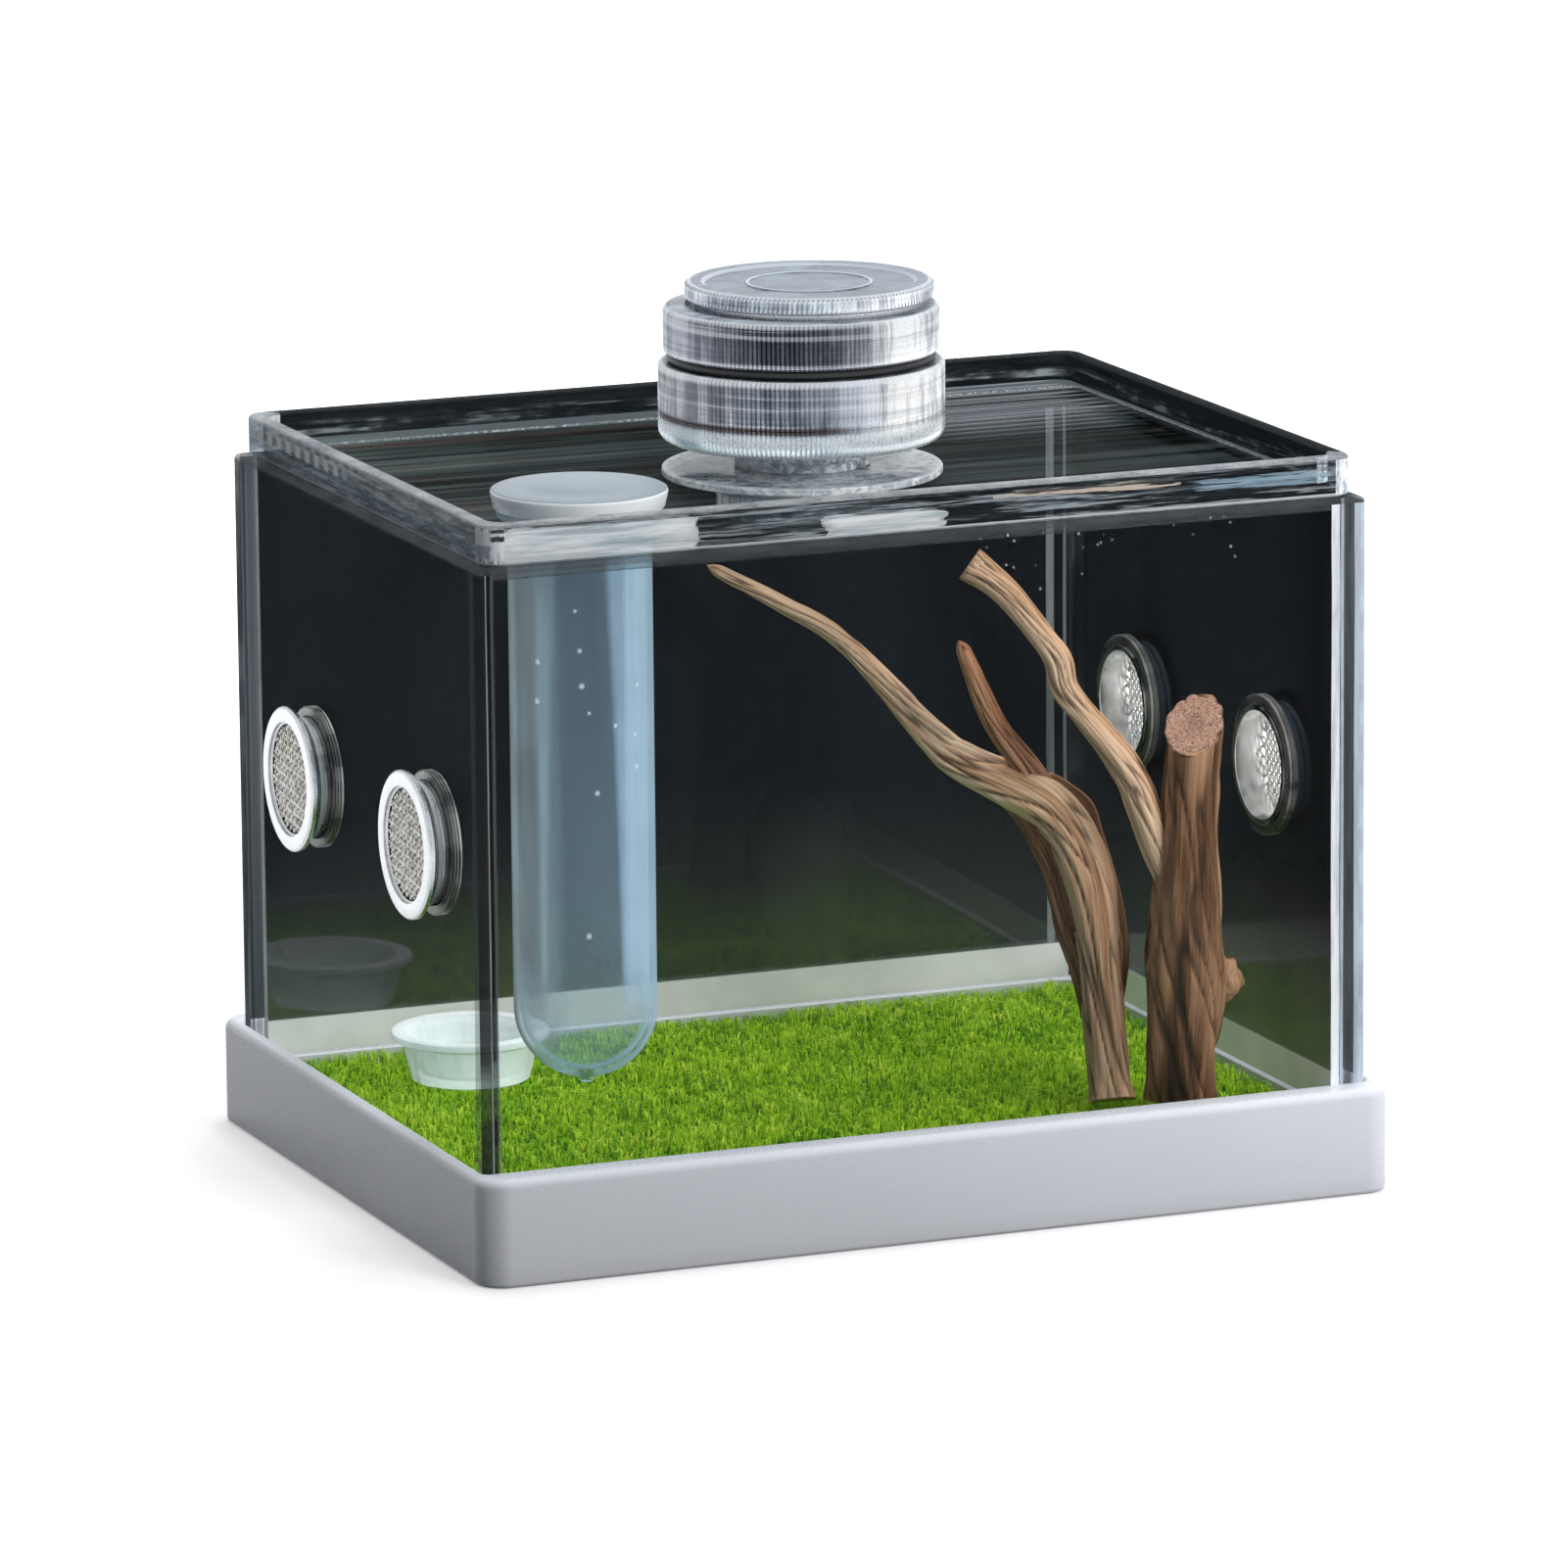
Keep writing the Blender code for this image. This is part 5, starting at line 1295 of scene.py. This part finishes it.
def make_turf():
    half_x, half_y = WELL_X - 0.3, WELL_Y - 0.3
    loops = [(half_x, half_y, 3.0, TURF_LOW)]
    loops += round_levels(half_x, half_y, 3.0, BACKING_TOP - 1.5, 1.5, 0, 90, 4)
    base = new_object("turf_backing", sweep("turf_backing", loops, lambda region, band: 0, False, (0, 0)),
                      [turf_base("turf_backing_green")])
    dress(base, "base", "turf")

    chance = np.random.default_rng(5)
    count = 34000
    x = chance.uniform(-half_x + 0.6, half_x - 0.6, count)
    y = chance.uniform(-half_y + 0.6, half_y - 0.6, count)
    mound = np.array([noise.noise(Vector((a * 0.06, b * 0.06, 2.0))) for a, b in zip(x, y)])
    clump = np.array([noise.noise(Vector((a * 0.35, b * 0.35, 8.0))) for a, b in zip(x, y)])
    top = 12.9 + 0.7 * mound + 0.5 * clump + chance.uniform(-0.7, 0.35, count)
    top = np.clip(top, 11.2, TURF_TOP)
    root = np.full(count, BACKING_TOP - 0.8)
    turn = chance.uniform(0, math.tau, count)
    lean = chance.uniform(0.7, 3.2, count)
    tilt = chance.uniform(0, math.tau, count)
    width = chance.uniform(0.26, 0.5, count)
    side = np.stack([np.cos(turn), np.sin(turn), np.zeros(count)], 1) * width[:, None] / 2
    drift = np.stack([np.cos(tilt) * lean, np.sin(tilt) * lean, np.zeros(count)], 1)
    foot = np.stack([x, y, root], 1)
    height = (top - root)[:, None] * np.array([[0.0, 0.0, 1.0]])
    middle = foot + height * 0.85 + drift * 0.25
    tip = foot + height * chance.uniform(0.7, 1.0, count)[:, None] + drift
    limit = np.array([half_x, half_y])
    tip[:, :2] = np.clip(tip[:, :2], -limit, limit)
    points = np.stack([foot - side, foot + side, middle - side * 0.85, middle + side * 0.85, tip], 1)
    mesh = bpy.data.meshes.new("turf_blades")
    index = np.arange(count) * 5
    faces = []
    for start in index.tolist():
        faces.append((start, start + 1, start + 3, start + 2))
        faces.append((start + 2, start + 3, start + 4))
    mesh.from_pydata((points.reshape(-1, 3) * MM).tolist(), [], faces)
    along = mesh.attributes.new("along", "FLOAT", "POINT")
    along.data.foreach_set("value", np.tile([0.0, 0.0, 0.6, 0.6, 1.0], count).astype(np.float32))
    tone = mesh.attributes.new("tone", "FLOAT", "POINT")
    shade = np.clip(chance.beta(2.2, 2.2, count) * 0.7 + 0.17 + 0.55 * clump + 0.25 * mound, 0.0, 1.0)
    tone.data.foreach_set("value", np.repeat(shade, 5).astype(np.float32))
    mesh.shade_smooth()
    blades = new_object("turf_blades", mesh, [grass("turf_grass")])
    dress(blades, "base", "turf", "turf_mat")


TRUNK_RADIUS = 4.7
STUMP_RADIUS = 7.4
TRUNK = [(0.560, -0.630, 0.004, 1.00), (0.563, -0.600, 0.05, 0.86), (0.564, -0.543, 0.188, 0.90),
         (0.568, -0.447, 0.355, 0.98), (0.502, -0.351, 0.470, 0.98), (0.333, -0.255, 0.545, 0.80),
         (0.277, -0.191, 0.585, 0.66), (0.100, -0.096, 0.744, 0.42), (-0.023, 0.000, 0.808, 0.36),
         (-0.184, 0.064, 0.877, 0.24)]
MIDDLE_BRANCH = [(0.510, -0.345, 0.450, 0.60), (0.480, -0.325, 0.512, 0.56),
                 (0.356, -0.383, 0.635, 0.46), (0.257, -0.447, 0.775, 0.28)]
BACK_STRAND = [(0.600, -0.520, 0.130, 0.34), (0.642, -0.450, 0.207, 0.36), (0.665, -0.360, 0.269, 0.34),
               (0.668, -0.280, 0.338, 0.30), (0.652, -0.240, 0.406, 0.29), (0.635, -0.220, 0.452, 0.28),
               (0.581, -0.220, 0.487, 0.28), (0.523, -0.250, 0.512, 0.30)]
LEFT_STRAND = [(0.550, -0.560, 0.110, 0.50), (0.542, -0.500, 0.200, 0.62), (0.524, -0.420, 0.300, 0.66),
               (0.512, -0.355, 0.380, 0.64), (0.470, -0.310, 0.450, 0.56), (0.400, -0.285, 0.505, 0.40)]
STUMP = [(0.712, -0.695, 0.004, 0.92), (0.714, -0.690, 0.060, 0.88), (0.730, -0.660, 0.190, 1.00),
         (0.737, -0.638, 0.300, 0.92), (0.752, -0.620, 0.470, 0.74), (0.770, -0.606, 0.600, 0.72),
         (0.786, -0.594, 0.700, 0.74)]
STUMP_CUT = (0.774, -0.603, 0.620)
CUT_FACING = (-0.30, -0.52, 0.80)
LONG_BRANCH = [(0.726, -0.620, 0.336, 0.36), (0.700, -0.605, 0.386, 0.40), (0.677, -0.590, 0.435, 0.42),
               (0.655, -0.585, 0.483, 0.42), (0.625, -0.585, 0.541, 0.42), (0.561, -0.585, 0.606, 0.37),
               (0.500, -0.600, 0.657, 0.34), (0.463, -0.585, 0.698, 0.36), (0.452, -0.570, 0.746, 0.37),
               (0.417, -0.540, 0.789, 0.34), (0.372, -0.490, 0.841, 0.33), (0.330, -0.450, 0.874, 0.36),
               (0.292, -0.420, 0.897, 0.46)]
KNOT = (0.818, -0.645, 0.195)
KNOT_RADIUS = 4.2


def clear_place(x, y, z):
    return np.array([x * INSIDE_X, y * INSIDE_Y, TURF_TOP + z * CLEAR_HEIGHT])


def route_points(shares, radius, step=0.8):
    """Points, radii and lengths along a smooth curve through a limb's route."""
    knots = [np.append(clear_place(*row[:3]), row[3] * radius) for row in shares]
    knots = [2 * knots[0] - knots[1]] + knots + [2 * knots[-1] - knots[-2]]
    points = []
    for before, start, end, after in zip(knots, knots[1:], knots[2:], knots[3:]):
        steps = max(2, int(np.linalg.norm(end[:3] - start[:3]) / step))
        for i in range(steps):
            t = i / steps
            points.append(0.5 * (2 * start + (end - before) * t
                                 + (2 * before - 5 * start + 4 * end - after) * t ** 2
                                 + (3 * start - before - 3 * end + after) * t ** 3))
    points.append(knots[-2])
    route = np.array(points)
    lengths = np.concatenate([[0], np.cumsum(np.linalg.norm(np.diff(route[:, :3], axis=0), axis=1))])
    return route[:, :3], route[:, 3], lengths


class Limbs:
    """Gathers limbs into one mesh, with the grain's coordinates on each point."""

    def __init__(self):
        self.points, self.faces = [], []
        self.grain, self.hollow, self.cut = [], [], []

    def add(self, shares, radius, seed, end="tip", sides=76, gnarl=0.16, groove=0.20, cut_plane=None):
        places, radii, lengths = route_points(shares, radius)
        total = lengths[-1]
        tangents = np.gradient(places, axis=0)
        tangents /= np.linalg.norm(tangents, axis=1)[:, None]
        normal = np.cross(tangents[0], (0.0, 1.0, 0.0))
        normal /= np.linalg.norm(normal)
        first = len(self.points)
        rings = 0
        for place, reach, s, tangent in zip(places, radii, lengths, tangents):
            normal = normal - tangent * (normal @ tangent)
            normal /= np.linalg.norm(normal)
            side = np.cross(tangent, normal)
            if end == "tip":
                left = total - s
                reach *= min(1.0, math.sqrt(max(left, 0.02) / 2.5))
            for k in range(sides):
                angle = math.tau * k / sides
                c, d = math.cos(angle), math.sin(angle)
                bulk = noise.noise(Vector((c * 0.9 + seed, d * 0.9, s / 16)))
                twist = angle + s / 26
                ridge = noise.noise(Vector((math.cos(twist) * 2.1, math.sin(twist) * 2.1 + seed, s / 26)))
                crease = max(0.0, 0.32 - abs(ridge)) / 0.32
                fine = noise.noise(Vector((c * 5.0, d * 5.0 + seed, s / 7)))
                swell = 1 + gnarl * bulk + 0.05 * fine - groove * crease ** 2
                self.points.append(place + (normal * c + side * d) * reach * swell)
                self.grain.append((c * reach, d * reach, s + seed * 40))
                self.hollow.append(crease ** 2)
                self.cut.append(0.0)
            rings += 1
        for ring in range(rings - 1):
            for k in range(sides):
                a = first + ring * sides + k
                b = first + ring * sides + (k + 1) % sides
                self.faces.append((a, b, b + sides, a + sides))
        outward = tangents[-1]
        if cut_plane:
            middle, outward = cut_plane
            self.slice(first, middle, outward, tangents[-1])
        self.close(first, sides, places[0], -tangents[0], 0.0, lengths[0])
        last = first + (rings - 1) * sides
        centre = sum(self.points[last:last + sides]) / sides if cut_plane else places[-1]
        self.close(last, sides, centre, outward, 1.0 if end == "sawn" else 0.0, total)

    def slice(self, first, middle, outward, tangent):
        """Brings what stands over the sloping cut down onto it."""
        for i in range(first, len(self.points)):
            over = (self.points[i] - middle) @ outward
            if over > 0:
                self.points[i] = self.points[i] - tangent * over / (tangent @ outward)

    def close(self, first, sides, centre, outward, cut, s):
        """Closes an end with two rings and a middle point, so that a sawn face keeps a crisp edge."""
        ring = [self.points[first + k] for k in range(sides)]
        before = first
        for share, rise in ((0.985, 0.02), (0.9, 0.08), (0.6, 0.10), (0.3, 0.12)):
            start = len(self.points)
            for k in range(sides):
                self.points.append(centre + (ring[k] - centre) * share + outward * rise)
                self.grain.append(tuple(self.grain[first + k][:2]) + (s,))
                self.hollow.append(0.0)
                self.cut.append(cut)
            for k in range(sides):
                after = (k + 1) % sides
                self.faces.append((before + k, before + after, start + after, start + k))
            before = start
        self.points.append(centre + outward * 0.12)
        self.grain.append((0.0, 0.0, s))
        self.hollow.append(0.0)
        self.cut.append(cut)
        middle = len(self.points) - 1
        for k in range(sides):
            self.faces.append((before + k, before + (k + 1) % sides, middle))

    def knot(self, centre, radius, seed):
        bm = bmesh.new()
        bmesh.ops.create_icosphere(bm, subdivisions=4, radius=1.0)
        first = len(self.points)
        for vertex in bm.verts:
            way = np.array(vertex.co)
            swell = 1 + 0.22 * noise.noise(Vector(way * 2.2) + Vector((seed, 0, 0)))
            ripple = noise.noise(Vector((way[0] * 6, way[1] * 6 + seed, way[2] * 1.5)))
            self.points.append(centre + way * radius * (swell + 0.07 * ripple))
            self.grain.append((way[0] * radius, way[1] * radius, way[2] * radius * 2))
            self.hollow.append(max(0.0, 0.3 - abs(ripple)) * 1.5)
            self.cut.append(0.0)
        for face in bm.faces:
            self.faces.append(tuple(first + vertex.index for vertex in face.verts))
        bm.free()

    def mesh(self, name):
        made = bpy.data.meshes.new(name)
        points = np.array(self.points)
        points[:, 2] = np.maximum(points[:, 2], FOOT)
        made.from_pydata((points * MM).tolist(), [], self.faces)
        grain = made.attributes.new("grain", "FLOAT_VECTOR", "POINT")
        grain.data.foreach_set("vector", np.array(self.grain, np.float32).ravel())
        for label, values in (("hollow", self.hollow), ("cut", self.cut)):
            attribute = made.attributes.new(label, "FLOAT", "POINT")
            attribute.data.foreach_set("value", np.array(values, np.float32))
        made.shade_smooth()
        return made


def make_driftwood():
    tan = bark("trunk_wood", (0.15, 0.07, 0.03), (0.66, 0.39, 0.22), (1.0, 0.72, 0.50), 0.28, 0.035, 1.0)
    red = bark("branch_wood", (0.13, 0.05, 0.022), (0.52, 0.24, 0.13), (0.84, 0.50, 0.32))
    # painted shade: the strands, in the trunk's shade, take a dark copy of the wood
    dark = bark("strand_wood_painted_shade", (0.05, 0.024, 0.012), (0.2, 0.10, 0.05), (0.46, 0.27, 0.16))
    brown = bark("stump_wood", (0.05, 0.024, 0.012), (0.17, 0.085, 0.042), (0.52, 0.30, 0.17),
                 0.6, 0.0, 0.35)
    pale = bark("long_branch_wood", (0.14, 0.065, 0.03), (0.58, 0.34, 0.19), (0.90, 0.60, 0.40), 0.4, 0.02)
    groups = (
        ("driftwood_trunk_limb", tan, [(TRUNK, TRUNK_RADIUS, 1.0)], "driftwood_trunk"),
        ("driftwood_branch_limb", red, [(MIDDLE_BRANCH, TRUNK_RADIUS, 3.0)], None),
        ("driftwood_strands", dark, [(BACK_STRAND, TRUNK_RADIUS, 5.0), (LEFT_STRAND, TRUNK_RADIUS, 7.0)],
         None),
    )
    for name, material, limbs, node in groups:
        gathered = Limbs()
        for shares, radius, seed in limbs:
            gathered.add(shares, radius, seed)
        piece = new_object(name, gathered.mesh(name), [material])
        dress(piece, "base", "driftwood", *([node] if node else []))
    stump = Limbs()
    facing = np.array(CUT_FACING) / np.linalg.norm(CUT_FACING)
    stump.add(STUMP, STUMP_RADIUS, 9.0, end="sawn", sides=96, gnarl=0.13, groove=0.13,
              cut_plane=(clear_place(*STUMP_CUT), facing))
    stump.knot(clear_place(*KNOT), KNOT_RADIUS, 2.0)
    dress(new_object("driftwood_stump_limb", stump.mesh("driftwood_stump_limb"), [brown]), "base",
          "driftwood", "driftwood_stump")
    branch = Limbs()
    branch.add(LONG_BRANCH, STUMP_RADIUS, 12.0, end="sawn", sides=72, gnarl=0.16, groove=0.14)
    dress(new_object("driftwood_long_branch", branch.mesh("driftwood_long_branch"), [pale]), "base",
          "driftwood")


# Stage

CAMERA_YAW = 22.03
CAMERA_PITCH = 11.98
CAMERA_ROLL = -0.5
CAMERA_LENS = 241.67
CAMERA_AIM = (0.18, 5.64, 70.0)
CAMERA_AWAY = 1973.9
FLOOR_REACH = 14.0


def place_camera():
    """At the photograph's angle: the view is turned to the right of +Y, and looks down."""
    yaw, pitch, roll = (math.radians(angle) for angle in (CAMERA_YAW, CAMERA_PITCH, CAMERA_ROLL))
    level = Vector((math.sin(yaw), math.cos(yaw), 0))
    across = Vector((math.cos(yaw), -math.sin(yaw), 0))
    forward = level * math.cos(pitch) - Vector((0, 0, math.sin(pitch)))
    upright = level * math.sin(pitch) + Vector((0, 0, math.cos(pitch)))
    right = across * math.cos(roll) + upright * math.sin(roll)
    up = -across * math.sin(roll) + upright * math.cos(roll)
    data = bpy.data.cameras.new("camera")
    data.sensor_width = 36.0
    data.lens = CAMERA_LENS
    data.clip_start = 0.05
    data.clip_end = 100.0
    camera = bpy.data.objects.new("camera", data)
    bpy.context.scene.collection.objects.link(camera)
    turn = Matrix((right, up, -forward)).transposed().to_4x4()
    spot = (Vector(CAMERA_AIM) - forward * CAMERA_AWAY) * MM
    camera.matrix_world = Matrix.Translation(spot) @ turn
    bpy.context.scene.camera = camera


def seen_directly(shader):
    """1 for what the camera sees, itself or in gloss or glass, and 0 for light that falls on things."""
    path = shader.node("LightPath").outputs
    first = shader.most(path["Is Camera Ray"], path["Is Glossy Ray"])
    return shader.most(first, path["Is Transmission Ray"])


def make_stage():
    floor_mesh = bpy.data.meshes.new("floor")
    corners = [(x * FLOOR_REACH, y * FLOOR_REACH, 0) for x, y in ((-1, -1), (1, -1), (1, 1), (-1, 1))]
    floor_mesh.from_pydata(corners, [], [(0, 1, 2, 3)])
    shader = Shader("floor_pale")
    place = shader.coords()
    cloudy = shader.noise(place, 0.003, 2.0)
    seen = seen_directly(shader)
    tone = shader.mix(seen, shader.ramp(cloudy, [(0.3, 0.10), (0.7, 0.13)]),
                      shader.ramp(cloudy, [(0.3, 0.66), (0.7, 0.70)]))
    paper = shader.node("BsdfDiffuse", {0: tone}).outputs[0]
    away = shader.node("VectorMath", {0: place}, operation="LENGTH").outputs["Value"]
    lit = shader.times(seen, shader.span(away, 130.0, 480.0, 0.38, 1.0))
    glow = shader.node("Emission", {0: WHITE, 1: lit}).outputs[0]
    shader.surface(shader.node("AddShader", {0: paper, 1: glow}).outputs[0])
    floor = new_object("floor", floor_mesh, [shader.material])

    world = bpy.data.worlds.new("studio")
    bpy.context.scene.world = world
    sky = Shader("studio", world)
    dim = sky.node("Background", {0: (0.86, 0.93, 1.0), 1: 0.16}).outputs[0]
    white = sky.node("Background", {0: WHITE, 1: 1.0}).outputs[0]
    sky.surface(sky.node("MixShader", {0: seen_directly(sky), 1: dim, 2: white}).outputs[0])


def add_light(name, place, aim, width, watts, colour):
    """A square lamp. Glossy surfaces mirror the pale surroundings only, and not the lamps."""
    data = bpy.data.lights.new(name, "AREA")
    data.shape = "SQUARE"
    data.size = width
    data.energy = watts
    data.color = colour
    light = bpy.data.objects.new(name, data)
    bpy.context.scene.collection.objects.link(light)
    light.location = place
    light.rotation_euler = (Vector(aim) - Vector(place)).to_track_quat("-Z", "Y").to_euler()
    light.visible_glossy = False


def make_lights():
    middle = (0.0, 0.0, 0.06)
    add_light("key", (0.44, -1.04, 0.66), middle, 0.45, 7.1, (1.0, 0.985, 0.97))
    add_light("top", (0.02, 0.20, 1.2), middle, 0.7, 10.5, WHITE)
    add_light("back", (0.5, 0.95, 0.7), middle, 0.6, 4.5, (0.95, 0.98, 1.0))
    add_light("near", (0.28, -0.25, 0.12), (0.10, -0.07, 0.03), 0.12, 0.44, WHITE)


make_tray()
make_turf()
make_driftwood()
make_dish()
make_tube()
make_droplets()
make_vents()
make_port()
make_body()
make_lid()
place_camera()
make_stage()
make_lights()
bpy.context.scene.view_settings.view_transform = "Standard"
bpy.context.scene.cycles.transparent_max_bounces = 24
